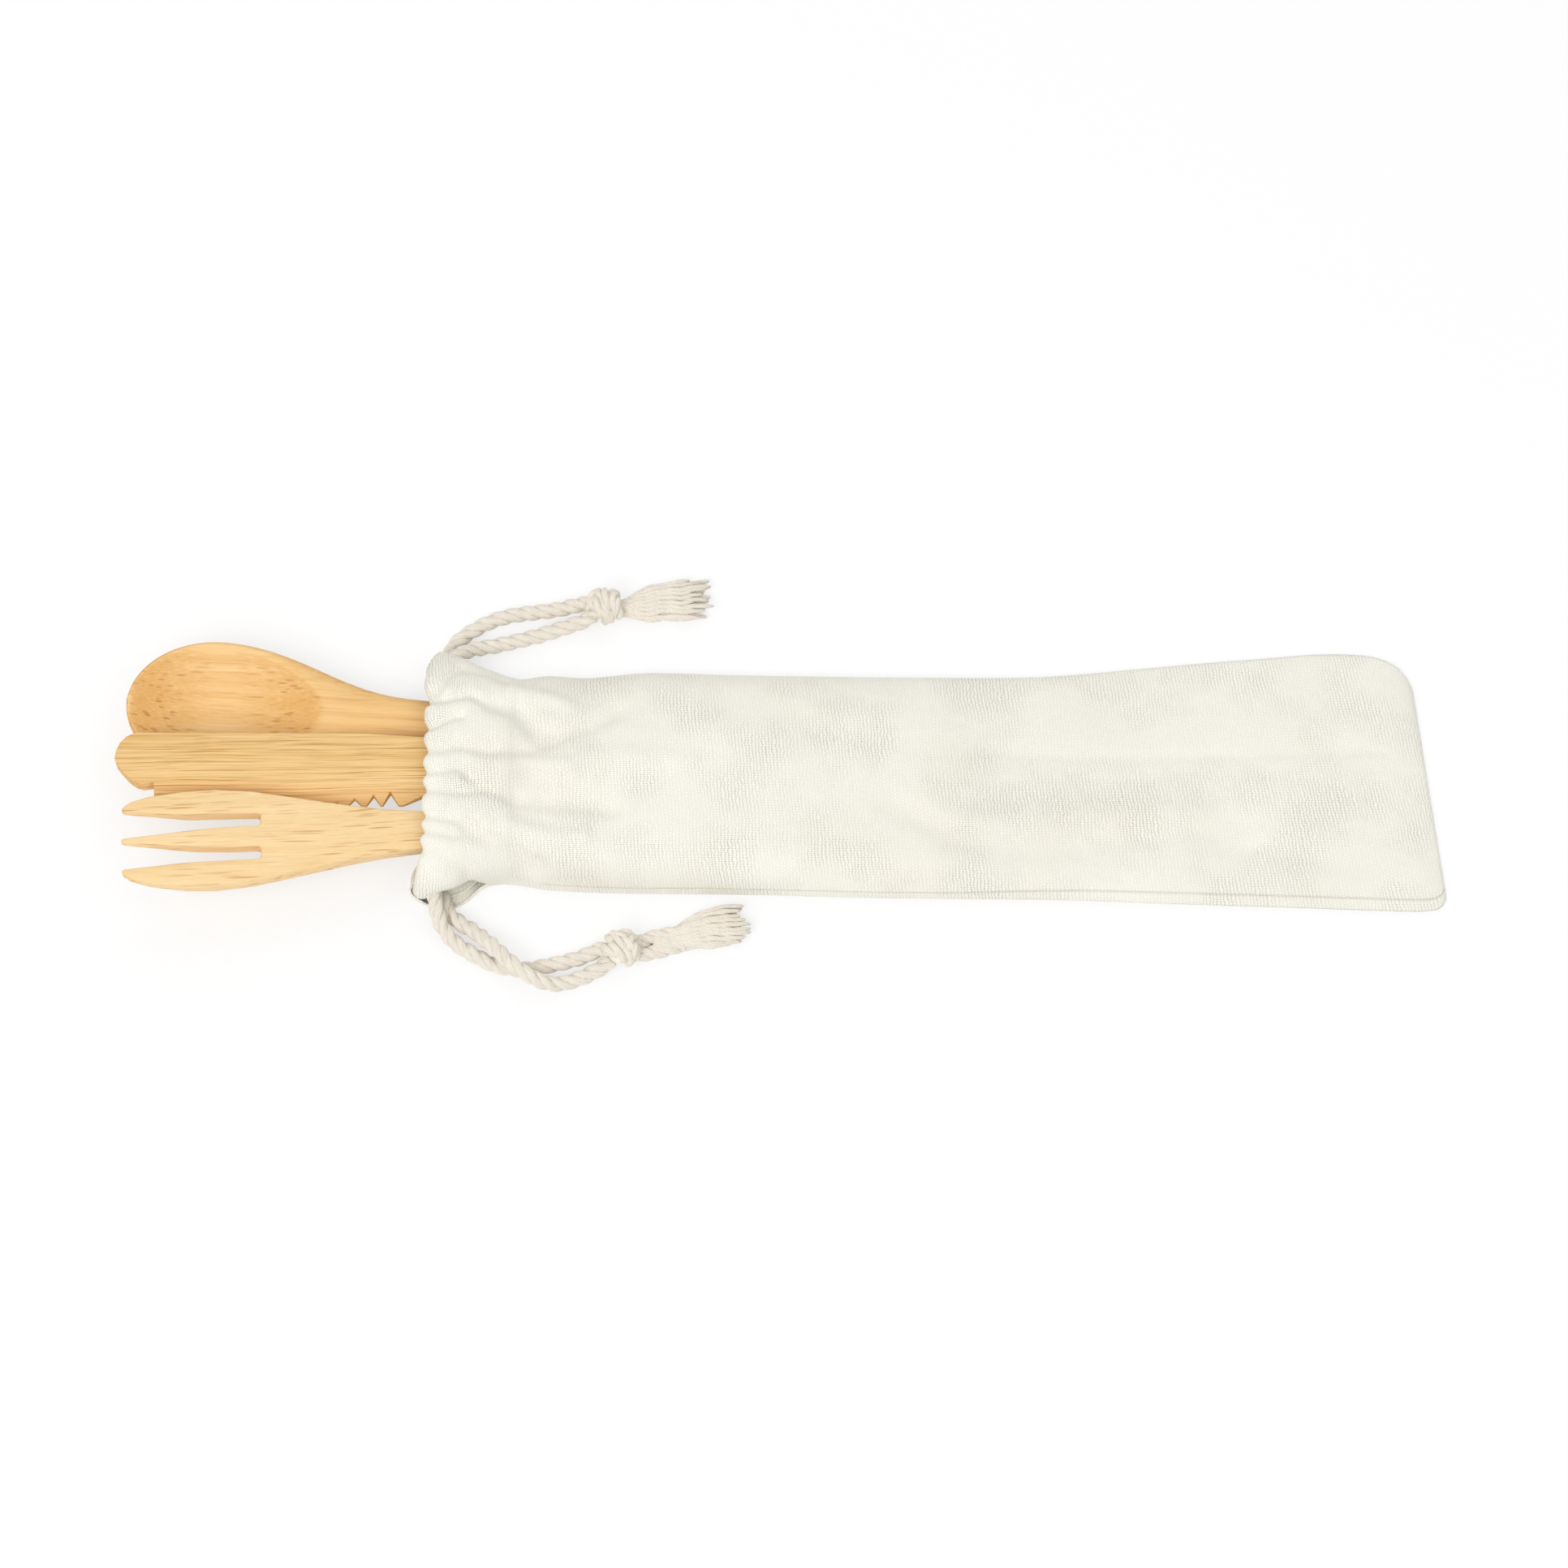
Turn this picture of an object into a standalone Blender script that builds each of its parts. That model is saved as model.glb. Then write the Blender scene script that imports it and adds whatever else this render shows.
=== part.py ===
"""Bamboo spoon, knife and fork in a cotton pouch with two drawcords.

The set lies flat: heads to -X, closed end of the pouch to +X, +Z up, floor at Z = 0.
Sizes are in millimetres and are turned into metres where a mesh is made.
"""
import math

import bmesh
import bpy
from mathutils import Matrix, Vector

MM = 0.001
MERGE = 0.00001

# Clearance between pieces that touch
GAP = 0.3

# Bamboo pieces
UTENSIL_LENGTH = 200.0
SPOON_THICKNESS = 4.2
KNIFE_THICKNESS = 4.4
FORK_THICKNESS = 4.4

SPOON_TIP = (-165.2, 18.25)
SPOON_TURN = -2.8
BOWL_WIDTH = 36.0
BOWL_NOSE = 22.0
BOWL_SHOULDER = 52.0
BOWL_HOLLOW_LENGTH = 47.5
BOWL_HOLLOW_DEPTH = 5.4
BOWL_BELLY = 6.6
BOWL_RIM = 1.3
BOWL_RIM_HEIGHT = 1.6
BOWL_CENTRE = BOWL_NOSE + 1.0
BELLY_RUN = 40.0
EDGE_THICKENING = (36.0, 66.0)
SPOON_EDGE_DROP = 0.4
SPOON_NECK_WIDTH = 10.8
SPOON_END_WIDTH = 12.0

KNIFE_TURN = 1.52
KNIFE_TIP = (-166.1, -2.75)
BLADE_EDGE = 8.9
BLADE_BEVEL_WIDTH = 5.5
BLADE_EDGE_THICKNESS = 1.1
BLADE_BEVEL_START = 10.0
BLADE_END = 82.0
BEVEL_SKIM = 0.5
CUTTER_MARGIN = 4.0
KNIFE_NECK_HALF_WIDTH = 8.2
KNIFE_END_HALF_WIDTH = 6.0
KNIFE_HANDLE_NARROWING = 1.1
BLADE_NOSE = ((0.3, 2.2), (0.0, 3.5), (0.3, 5.3), (1.2, 7.5), (2.7, 9.1))
BLADE_NOSE_STEP = ((9.9, -3.2), (8.9, -3.5), (7.0, -3.7), (5.5, -3.2), (4.2, -2.3), (3.0, -1.2), (1.7, 0.3))
BLADE_BACK = ((5.0, 10.2), (24.0, 9.95), (46.0, 9.65))
BLADE_SHOULDER = (62.0, 9.2)
KNIFE_NECK_X = 76.0
EDGE_FALL = ((84.0, -6.9), (76.1, -7.0), (71.6, -8.9))
HANDLE_X = 120.0
NOTCH_APEXES = (55.0, 59.5, 64.2, 68.4)
NOTCH_DEPTHS = (1.1, 1.7, 2.4, 3.1)
NOTCH_HALF_WIDTHS = (1.2, 1.7, 1.75, 1.95)

FORK_TIP = (-162.6, -22.85)
FORK_TURN = 4.05
FORK_HEAD_HALF_WIDTH = 12.7
FORK_NECK_HALF_WIDTH = 5.0
FORK_END_HALF_WIDTH = 5.2
TINE_LENGTH = 34.0
TINE_TIP_OFFSET = 8.1
SLOT_OFFSET = 4.35
SLOT_WIDTH = 3.3
TINE_TIP_THICKNESS = 2.2
TINE_TAPER_LENGTH = 16.0
SLOT_CORNER = 0.6
MIDDLE_TINE = ((-0.2, 0.0), (0.4, 0.6), (10.0, 1.5), (20.0, 2.4))
MIDDLE_TINE_ROOT = 27.0
OUTER_TINE_FLARE = ((24.0, 0.1), (16.0, 0.3), (8.0, 0.9))
OUTER_TINE_SIDE = ((2.4, 10.2), (7.0, 11.5))
FORK_HEAD_RUN = ((15.0, 0.3), (23.0, 0.0), (32.0, 0.8))
FORK_FALL = ((40.0, 10.4), (48.0, 8.8), (56.0, 7.2), (64.0, 5.9))
FORK_NECK_X = 73.0

# Pouch
CLOTH = 0.5
MOUTH_X = -92.0
CLOSED_END_X = 163.3
FRONT_LIP_SETBACK = 2.5
CASING_WIDTH = 25.5
CASING_THICKNESS = 4.0
CASING_SIDE_HEIGHT = 4.35
SLIT_HEIGHT = 0.6
SLIT_LENGTH = 19.0
SLIT_CUTTER_WIDTH = 90.0
CORNER_RUN = 2.5
END_SKEW = -0.085
END_SKEW_START = 60.0
ARCH_EASING = (20.0, 90.0)
SETBACK_RUN = 16.0
LIP_RUN = 6.0
GATHERS = 12
GATHER_HEIGHT = 1.3
STITCH_X = MOUTH_X + CASING_WIDTH

# Drawcords
CORD_DIAMETER = 4.0
PRESSED_CORD_DIAMETER = 2.4
CASING_RUN_CUT = 22.5
CASING_CORD_STEP = 3.2
STRAND_STEP = 2.5
EXIT_STRAIGHT = 3.0
EXIT_GAP = 0.4
BORE_OVERRUN = 6.0
MOUTH_OVERRUN = 5.0
EXIT_BORE_REACH = 1.2
FLOOR_GAP = 0.05
UPPER_CORD_X = -80.5
LOWER_CORD_X = -88.6
KNOT_RADIUS = 5.0

# How the pieces rest on each other: heights at the handle ends, and slopes towards the heads
HANDLE_END_ROUNDING = 1.8
HANDLE_END_X = SPOON_TIP[0] + UTENSIL_LENGTH - HANDLE_END_ROUNDING
STACK_SLOPE = (CASING_THICKNESS - CLOTH) / (HANDLE_END_X - STITCH_X)
SPOON_REST = CLOTH + GAP + 0.15
KNIFE_REST = SPOON_REST + SPOON_THICKNESS + GAP
FORK_REST = SPOON_REST
FORK_SEAT_X = -140.0
FORK_SEAT_LIFT = BLADE_EDGE_THICKNESS + 1.7
FORK_SEAT = KNIFE_REST + (HANDLE_END_X - FORK_SEAT_X) * STACK_SLOPE + FORK_SEAT_LIFT
FORK_SLOPE = (FORK_SEAT - FORK_REST) / (HANDLE_END_X - FORK_SEAT_X)

# Outline of the pouch seen from above, and the height of its crown, along X
FAR_EDGE = (
    (-92.0, 30.5), (-88.0, 33.2), (-82.0, 32.2), (-75.0, 29.6), (-67.5, 27.6), (-60.0, 29.0),
    (-50.0, 28.6), (-34.0, 30.2), (-10.0, 29.6), (30.0, 29.0), (65.0, 29.2), (90.0, 31.4),
    (107.0, 33.0), (124.0, 34.4), (140.0, 35.7), (152.0, 35.4), (158.0, 33.6), (161.6, 30.4),
    (163.3, 25.6),
)
NEAR_EDGE = (
    (-92.0, -31.5), (-88.0, -32.9), (-82.0, -32.2), (-75.0, -28.8), (-68.0, -27.6), (-58.0, -28.8),
    (-42.0, -29.5), (-9.0, -29.9), (23.0, -30.8), (72.0, -31.4), (96.0, -32.3), (128.0, -33.4),
    (150.0, -34.2), (158.0, -34.2), (161.6, -33.2), (163.3, -30.6),
)
CROWN = (
    (-92.0, 20.0), (-88.0, 20.3), (-80.0, 20.1), (-71.0, 19.4), (-68.0, 18.5), (-66.5, 17.5),
    (-64.0, 16.6), (-58.0, 15.6), (-40.0, 14.3), (0.0, 12.7), (30.0, 11.5), (38.0, 10.9),
    (48.0, 8.8), (60.0, 6.6), (78.0, 4.6), (105.0, 3.4), (135.0, 2.9), (157.0, 2.6), (163.3, 1.8),
)
SIDE_HEIGHT = (
    (-92.0, CASING_SIDE_HEIGHT), (-74.0, CASING_SIDE_HEIGHT), (-62.0, 1.6), (30.0, 1.4), (163.3, 1.0),
)
GATHER_FADE = (
    (-92.0, 0.9), (-86.0, 1.0), (-76.0, 0.8), (-68.5, 0.45), (-66.5, 0.35), (-63.0, 0.6),
    (-56.0, 0.3), (-46.0, 0.0), (163.3, 0.0),
)
LIP_ROUNDING = ((-92.0, 1.3), (-91.4, 0.5), (-90.2, 0.0), (163.3, 0.0))

SKIN_STATIONS = (
    -92.0, -91.2, -89.6, -87.0, -84.0, -81.0, -78.0, -75.0, -72.0, -69.6, -67.9, -66.5, -65.1,
    -62.5, -59.0, -54.0, -48.0, -40.0, -30.0, -15.0, 0.0, 16.0, 30.0, 39.0, 48.0, 58.0, 70.0,
    88.0, 108.0, 128.0, 143.0, 152.0, 157.5, 160.5, 162.3, 163.3,
)
CAVITY_STATIONS = (
    -92.0, -88.0, -80.0, -73.0, -69.6, -68.2, -66.9, -65.6, -62.0, -52.0, -38.0, -20.0, 0.0,
    20.0, 34.0, 44.0, 54.0, 68.0, 88.0, 112.0, 138.0, 155.0, 160.8,
)

# Routes of the free strands, from where they leave the casing to their knot
UPPER_FRONT_ROUTE = (
    (-82.6, 31.8, 8.0), (-81.0, 34.2, 5.7), (-78.0, 36.2, 3.5), (-73.8, 37.5, 2.3),
    (-69.4, 38.7, 2.05), (-63.2, 40.3, 2.05), (-57.2, 42.2, 2.4), (-53.2, 43.3, 3.2),
    (-50.2, 44.1, 4.1),
)
UPPER_BACK_ROUTE = (
    (-85.1, 33.2, 2.2), (-84.6, 36.4, 2.05), (-82.3, 39.6, 2.05), (-79.1, 42.0, 2.05),
    (-75.8, 44.0, 2.05), (-72.4, 45.4, 2.05), (-68.4, 46.4, 2.05), (-63.3, 47.1, 2.05),
    (-57.3, 47.8, 2.5), (-50.9, 48.6, 4.1),
)
LOWER_FRONT_ROUTE = (
    (-86.2, -32.2, 6.9), (-85.7, -35.2, 5.9), (-84.3, -39.2, 4.0), (-81.2, -42.9, 2.4),
    (-76.6, -45.9, 2.05), (-72.4, -48.2, 2.05), (-68.0, -49.5, 2.05), (-63.4, -49.9, 2.05),
    (-59.6, -49.3, 2.05), (-56.1, -48.5, 2.05), (-52.1, -47.6, 2.2), (-48.6, -46.6, 3.0),
    (-45.4, -45.5, 4.0),
)
LOWER_BACK_ROUTE = (
    (-84.0, -32.6, 2.2), (-82.9, -35.0, 2.1), (-80.3, -37.5, 2.2), (-76.2, -40.4, 2.9),
    (-71.9, -44.4, 5.1), (-67.2, -49.2, 6.5), (-63.4, -52.2, 6.5), (-59.7, -53.8, 4.8),
    (-56.0, -54.0, 2.9), (-52.0, -53.0, 2.05), (-48.0, -51.4, 2.3), (-43.9, -49.3, 3.2),
)
UPPER_KNOT_PLACE = (-45.4, 47.5)
LOWER_KNOT_PLACE = (-39.8, -45.6)

# Sections of the tassels: X, Y, width and height
UPPER_TASSEL = (
    (-39.6, 48.6, 5.0, 5.0), (-37.6, 49.2, 8.0, 6.0), (-34.0, 49.8, 11.0, 6.4),
    (-28.0, 50.3, 12.0, 6.0), (-22.0, 51.0, 12.6, 5.4), (-18.6, 51.3, 12.0, 4.6),
)
LOWER_TASSEL = (
    (-34.2, -43.6, 4.4, 5.0), (-31.0, -42.6, 4.6, 5.6), (-27.0, -41.6, 5.4, 6.0),
    (-23.0, -40.4, 8.0, 6.0), (-17.0, -38.8, 11.0, 5.4), (-11.0, -38.0, 11.6, 4.6),
    (-9.4, -38.0, 10.6, 4.0),
)
TASSEL_SIDES = 14


def smooth_value(table, x):
    """Value at x on a smooth curve through the table's points."""
    if x <= table[0][0]:
        return table[0][1]
    if x >= table[-1][0]:
        return table[-1][1]
    last = len(table) - 1
    k = max(i for i in range(last) if table[i][0] <= x)

    def slope(i):
        low, high = table[max(i - 1, 0)], table[min(i + 1, last)]
        return (high[1] - low[1]) / (high[0] - low[0])

    (x0, y0), (x1, y1) = table[k], table[k + 1]
    span = x1 - x0
    t = (x - x0) / span
    start = (2 * t ** 3 - 3 * t ** 2 + 1) * y0 + (t ** 3 - 2 * t ** 2 + t) * span * slope(k)
    end = (3 * t ** 2 - 2 * t ** 3) * y1 + (t ** 3 - t ** 2) * span * slope(k + 1)
    return start + end


def eased(x, low, high):
    """0 below low, 1 above high, a smooth step between."""
    t = min(1.0, max(0.0, (x - low) / (high - low)))
    return t * t * (3 - 2 * t)


def evenly(points, count):
    """Points spaced evenly along a polyline, both ends kept."""
    lengths = [0.0]
    for a, b in zip(points, points[1:]):
        lengths.append(lengths[-1] + math.dist(a, b))
    spaced = []
    k = 0
    for i in range(count + 1):
        want = lengths[-1] * i / count
        while k < len(points) - 2 and lengths[k + 1] < want:
            k += 1
        span = lengths[k + 1] - lengths[k]
        t = (want - lengths[k]) / span if span else 0.0
        spaced.append(tuple(a + (b - a) * t for a, b in zip(points[k], points[k + 1])))
    return spaced


def smooth_route(points, step):
    """A smooth curve through hand-chosen points, with a point about every step."""
    route = [Vector(p) for p in points]
    padded = [2 * route[0] - route[1]] + route + [2 * route[-1] - route[-2]]
    dense = []
    for a, b, c, d in zip(padded, padded[1:], padded[2:], padded[3:]):
        for k in range(12):
            t = k / 12
            dense.append(0.5 * (2 * b + (c - a) * t + (2 * a - 5 * b + 4 * c - d) * t ** 2
                                + (3 * b - a - 3 * c + d) * t ** 3))
    dense.append(route[-1])
    length = sum((q - p).length for p, q in zip(dense, dense[1:]))
    return evenly([tuple(p) for p in dense], max(4, round(length / step)))


def collection(name):
    group = bpy.data.collections.new(name)
    bpy.context.scene.collection.children.link(group)
    return group


def material(name, colour, roughness):
    """A plain Principled material."""
    finish = bpy.data.materials.new(name)
    finish.use_nodes = True
    shader = finish.node_tree.nodes["Principled BSDF"]
    shader.inputs["Base Color"].default_value = (*colour, 1.0)
    shader.inputs["Roughness"].default_value = roughness
    shader.inputs["Metallic"].default_value = 0.0
    return finish


def add_mesh(name, group, mesh, finish=None):
    """Link a bmesh as a named object."""
    data = bpy.data.meshes.new(name)
    mesh.to_mesh(data)
    mesh.free()
    piece = bpy.data.objects.new(name, data)
    group.objects.link(piece)
    if finish:
        data.materials.append(finish)
        data.shade_smooth()
        data.set_sharp_from_angle(angle=math.radians(40))
    return piece


def rolled(rings):
    """A closed skin: a flat grid rolled up so that each row lies on one ring of points."""
    rows = len(rings) - 1
    around = len(rings[0])
    skin = bmesh.new()
    bmesh.ops.create_grid(skin, x_segments=rows, y_segments=around, size=0.5)
    for vert in skin.verts:
        row = round((vert.co.x + 0.5) * rows)
        turn = round((vert.co.y + 0.5) * around) % around
        vert.co = Vector(rings[row][turn]) * MM
    bmesh.ops.remove_doubles(skin, verts=skin.verts[:], dist=MERGE)
    bmesh.ops.holes_fill(skin, edges=skin.edges[:], sides=0)
    bmesh.ops.recalc_face_normals(skin, faces=skin.faces[:])
    return skin


def mesh_from_curve(curve_object, group, name):
    """Turn a curve with loose caps into a closed mesh object in its place."""
    shape = curve_object.evaluated_get(bpy.context.evaluated_depsgraph_get())
    data = bpy.data.meshes.new_from_object(shape)
    data.transform(curve_object.matrix_world)
    mesh = bmesh.new()
    mesh.from_mesh(data)
    bmesh.ops.remove_doubles(mesh, verts=mesh.verts[:], dist=MERGE)
    bmesh.ops.recalc_face_normals(mesh, faces=mesh.faces[:])
    bpy.data.objects.remove(curve_object)
    return add_mesh(name, group, mesh)


def cord(name, group, points, diameter, finish=None):
    """A round cord along points, as a bevelled curve with filled caps."""
    data = bpy.data.curves.new(name, "CURVE")
    data.dimensions = "3D"
    data.bevel_depth = diameter / 2 * MM
    data.bevel_resolution = 2
    data.use_fill_caps = True
    line = data.splines.new("POLY")
    line.points.add(len(points) - 1)
    for point, place in zip(line.points, points):
        point.co = (*(Vector(place) * MM), 1.0)
    piece = bpy.data.objects.new(name, data)
    group.objects.link(piece)
    if finish:
        data.materials.append(finish)
    return piece


def flat_blank(name, group, outline, thickness):
    """A flat outline cut from a sheet: a filled 2D curve with its underside at Z = 0."""
    data = bpy.data.curves.new(name, "CURVE")
    data.dimensions = "2D"
    data.fill_mode = "BOTH"
    data.extrude = thickness / 2 * MM
    line = data.splines.new("POLY")
    line.points.add(len(outline) - 1)
    for point, (x, y) in zip(line.points, outline):
        point.co = (x * MM, y * MM, 0.0, 1.0)
    line.use_cyclic_u = True
    curve_object = bpy.data.objects.new(name + "_outline", data)
    group.objects.link(curve_object)
    curve_object.location.z = thickness / 2 * MM
    bpy.context.view_layer.update()
    return mesh_from_curve(curve_object, group, name)


def cut(piece, cutter):
    """Take the cutter's shape out of a piece."""
    cutter.hide_render = True
    cutter.display_type = "WIRE"
    boolean = piece.modifiers.new("cut_" + cutter.name, "BOOLEAN")
    boolean.operation = "DIFFERENCE"
    boolean.solver = "EXACT"
    boolean.object = cutter


def prism(name, group, profile, push):
    """A prism: a flat profile pushed along a vector."""
    mesh = bmesh.new()
    face = mesh.faces.new([mesh.verts.new(Vector(corner) * MM) for corner in profile])
    sides = bmesh.ops.extrude_face_region(mesh, geom=[face])
    moved = [v for v in sides["geom"] if isinstance(v, bmesh.types.BMVert)]
    bmesh.ops.translate(mesh, verts=moved, vec=Vector(push) * MM)
    bmesh.ops.recalc_face_normals(mesh, faces=mesh.faces[:])
    return add_mesh(name, group, mesh)


def lay(piece, tip, turn, rest, slope):
    """Lay a utensil down: its tip over a point, its handle end at rest height."""
    tip_height = rest + (HANDLE_END_X - tip[0]) * slope
    piece.location = (tip[0] * MM, tip[1] * MM, tip_height * MM)
    piece.rotation_mode = "XYZ"
    piece.rotation_euler = (0.0, math.atan(slope), math.radians(turn))


def arc(centre, radius, start, end, steps):
    """Points on an arc, angles in degrees."""
    points = []
    for k in range(steps + 1):
        angle = math.radians(start + (end - start) * k / steps)
        points.append((centre[0] + radius * math.cos(angle), centre[1] + radius * math.sin(angle)))
    return points


def spoon_half_width(x):
    """Half the spoon's width at x from its tip."""
    bowl = BOWL_WIDTH / 2
    neck = SPOON_NECK_WIDTH / 2
    end = SPOON_END_WIDTH / 2
    if x < BOWL_NOSE:
        return bowl * math.sqrt(max(0.0, 1 - ((BOWL_NOSE - x) / BOWL_NOSE) ** 2))
    if x < BOWL_NOSE + BOWL_SHOULDER:
        fall = (1 + math.cos(math.pi * (x - BOWL_NOSE) / BOWL_SHOULDER)) / 2
        return neck + (bowl - neck) * fall
    straight = UTENSIL_LENGTH - end
    if x < straight:
        return neck + (end - neck) * eased(x, BOWL_NOSE + BOWL_SHOULDER, straight)
    return end * math.sqrt(max(0.0, 1 - ((x - straight) / end) ** 2))


def spoon_ring(x):
    """Section of the spoon at x: over the top from one side to the other, then underneath."""
    half = max(spoon_half_width(x), 0.02)
    rim = min(BOWL_RIM, 0.3 * half)
    centre = BOWL_CENTRE
    reach = centre - BOWL_RIM if x < centre else BOWL_HOLLOW_LENGTH + BOWL_RIM - centre
    lengthwise = max(0.0, 1 - ((x - centre) / reach) ** 2)
    narrowing = min(1.0, 0.35 + 0.65 * math.sqrt(lengthwise)) if x > centre else 1.0
    hollow_half = (half - rim) * narrowing
    belly = BOWL_BELLY * max(0.0, 1 - ((x - centre) / (centre + 1.0)) ** 2) ** 0.7
    if x > centre:
        belly = BOWL_BELLY * (1 - eased(x, centre, centre + BELLY_RUN))
    edge = SPOON_THICKNESS + (BOWL_RIM_HEIGHT - SPOON_THICKNESS) * (1 - eased(x, *EDGE_THICKENING))
    nose = min(1.0, 0.35 + half / 12.0)
    top, under = [], []
    for k in range(13):
        across = math.cos(math.pi * k / 12)
        dip = BOWL_HOLLOW_DEPTH * lengthwise * (1 - across ** 2)
        top.append((x, hollow_half * across, -dip))
    for k in range(13):
        across = -math.cos(math.pi * k / 12)
        drop = edge * nose + belly * (1 - across ** 2) ** 0.6
        under.append((x, half * across, -drop))
    return [(x, half, -SPOON_EDGE_DROP)] + top + [(x, -half, -SPOON_EDGE_DROP)] + under


def make_spoon(group, finish):
    """The spoon, one bamboo blank carved above and below."""
    stations = [0.0, 0.3, 1.0, 2.2, 4.0, 6.5, 10.0, 14.0, 18.5, 23.0, 28.0, 33.0, 37.5, 41.0, 44.0,
                46.5, 48.6, 51.0, 55.0, 60.0, 66.0, 74.0, 100.0, 140.0]
    end = SPOON_END_WIDTH / 2
    stations += [UTENSIL_LENGTH - end * (1 - math.sin(math.radians(a))) for a in (0, 25, 45, 62, 76, 84, 90)]
    mesh = rolled([spoon_ring(x) for x in stations])
    bmesh.ops.translate(mesh, verts=mesh.verts[:], vec=(0.0, 0.0, SPOON_THICKNESS * MM))
    spoon = add_mesh("spoon", group, mesh, finish)
    lay(spoon, SPOON_TIP, SPOON_TURN, SPOON_REST, STACK_SLOPE)


def knife_outline():
    """Outline of the knife: back at +Y, notched edge at -Y, tip at 0."""
    neck, end = KNIFE_NECK_HALF_WIDTH, KNIFE_END_HALF_WIDTH
    handle = neck - KNIFE_HANDLE_NARROWING
    outline = [*BLADE_NOSE, *BLADE_BACK, BLADE_SHOULDER]
    outline += [(KNIFE_NECK_X, neck), (HANDLE_X, handle)]
    outline += arc((UTENSIL_LENGTH - end, 0.0), end, 90, -90, 10)
    outline += [(HANDLE_X, -handle), *EDGE_FALL]
    for apex, depth, half in reversed(list(zip(NOTCH_APEXES, NOTCH_DEPTHS, NOTCH_HALF_WIDTHS))):
        outline += [(apex + half, -BLADE_EDGE), (apex, depth - BLADE_EDGE), (apex - half, -BLADE_EDGE)]
    return outline + [(BLADE_BEVEL_START, -BLADE_EDGE), *BLADE_NOSE_STEP]


def make_knife(group, cutters, finish):
    """The knife, a flat blank whose cutting edge is planed thin on its upper side."""
    knife = flat_blank("knife", group, knife_outline(), KNIFE_THICKNESS)
    knife.data.materials.append(finish)
    drop = KNIFE_THICKNESS - BLADE_EDGE_THICKNESS
    reach = BLADE_BEVEL_WIDTH + CUTTER_MARGIN
    start = BLADE_BEVEL_START - BEVEL_SKIM
    inner = BLADE_BEVEL_WIDTH - BLADE_EDGE
    above = KNIFE_THICKNESS + CUTTER_MARGIN
    profile = [
        (start, inner, KNIFE_THICKNESS),
        (start, inner - reach, KNIFE_THICKNESS - reach * drop / BLADE_BEVEL_WIDTH),
        (start, inner - reach, above), (start, inner, above),
    ]
    plane = prism("blade_bevel", cutters, profile, (BLADE_END - start, 0.0, 0.0))
    plane.parent = knife
    cut(knife, plane)
    lay(knife, KNIFE_TIP, KNIFE_TURN, KNIFE_REST, STACK_SLOPE)


def fork_outline():
    """Outline of the fork: tine tips at X = 0, the same on both sides of its axis."""
    head, neck, end = FORK_HEAD_HALF_WIDTH, FORK_NECK_HALF_WIDTH, FORK_END_HALF_WIDTH
    slot_in, slot_out = SLOT_OFFSET - SLOT_WIDTH / 2, SLOT_OFFSET + SLOT_WIDTH / 2
    tip, corner = TINE_TIP_OFFSET, SLOT_CORNER
    side = [*MIDDLE_TINE, (MIDDLE_TINE_ROOT, slot_in)]
    side += [(TINE_LENGTH - corner, slot_in), (TINE_LENGTH, slot_in + corner)]
    side += [(TINE_LENGTH, slot_out - corner), (TINE_LENGTH - corner, slot_out)]
    side += [(x, slot_out + flare) for x, flare in OUTER_TINE_FLARE]
    side += [(corner, tip - corner), (0.0, tip), (corner, tip + 1.5 * corner), *OUTER_TINE_SIDE]
    side += [(x, head - fall) for x, fall in FORK_HEAD_RUN]
    side += [*FORK_FALL, (FORK_NECK_X, neck), (HANDLE_X, neck)]
    upper = side + arc((UTENSIL_LENGTH - end, 0.0), end, 90, 0, 6)
    lower = [(x, -y) for x, y in reversed(upper[1:-1])]
    return upper + lower


def make_fork(group, cutters, finish):
    """The fork, a flat blank whose tines thin towards their points on the underside."""
    fork = flat_blank("fork", group, fork_outline(), FORK_THICKNESS)
    fork.data.materials.append(finish)
    drop = FORK_THICKNESS - TINE_TIP_THICKNESS
    depth = drop * (TINE_TAPER_LENGTH + CUTTER_MARGIN) / TINE_TAPER_LENGTH
    side = FORK_HEAD_HALF_WIDTH + CUTTER_MARGIN
    profile = [
        (-CUTTER_MARGIN, -side, -CUTTER_MARGIN), (-CUTTER_MARGIN, -side, depth),
        (TINE_TAPER_LENGTH, -side, 0.0), (TINE_TAPER_LENGTH, -side, -CUTTER_MARGIN),
    ]
    taper = prism("tine_taper", cutters, profile, (0.0, 2 * side, 0.0))
    taper.parent = fork
    cut(fork, taper)
    lay(fork, FORK_TIP, FORK_TURN, FORK_REST, FORK_SLOPE)


def top_arch(t, x):
    """Height of the cloth across the pouch: full on the near side, easier on the far side."""
    flat = eased(x, *ARCH_EASING)
    power = 8.0 - 4.0 * flat if t < 0 else 2.6 + 1.4 * flat
    root = 0.5 if t < 0 else 0.625 - 0.125 * flat
    return max(0.0, 1 - abs(t) ** power) ** root


def section_line(x, inset):
    """Top line and bottom line of the pouch's section at x, moved inwards by inset."""
    near, far = smooth_value(NEAR_EDGE, x), smooth_value(FAR_EDGE, x)
    crown, side = smooth_value(CROWN, x), smooth_value(SIDE_HEIGHT, x)
    middle, half = (near + far) / 2, (far - near) / 2
    run = CORNER_RUN / half
    steps = 160
    top, bottom = [], []
    for k in range(steps + 1):
        t = -math.cos(math.pi * k / steps)
        top.append((middle + half * t, side + (crown - side) * top_arch(t, x)))
        s = max(0.0, (abs(t) - 1 + run) / run)
        bottom.append((middle - half * t, side * (1 - math.sqrt(max(0.0, 1 - s * s)))))
    return shifted(top, inset), shifted(bottom, inset)


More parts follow.
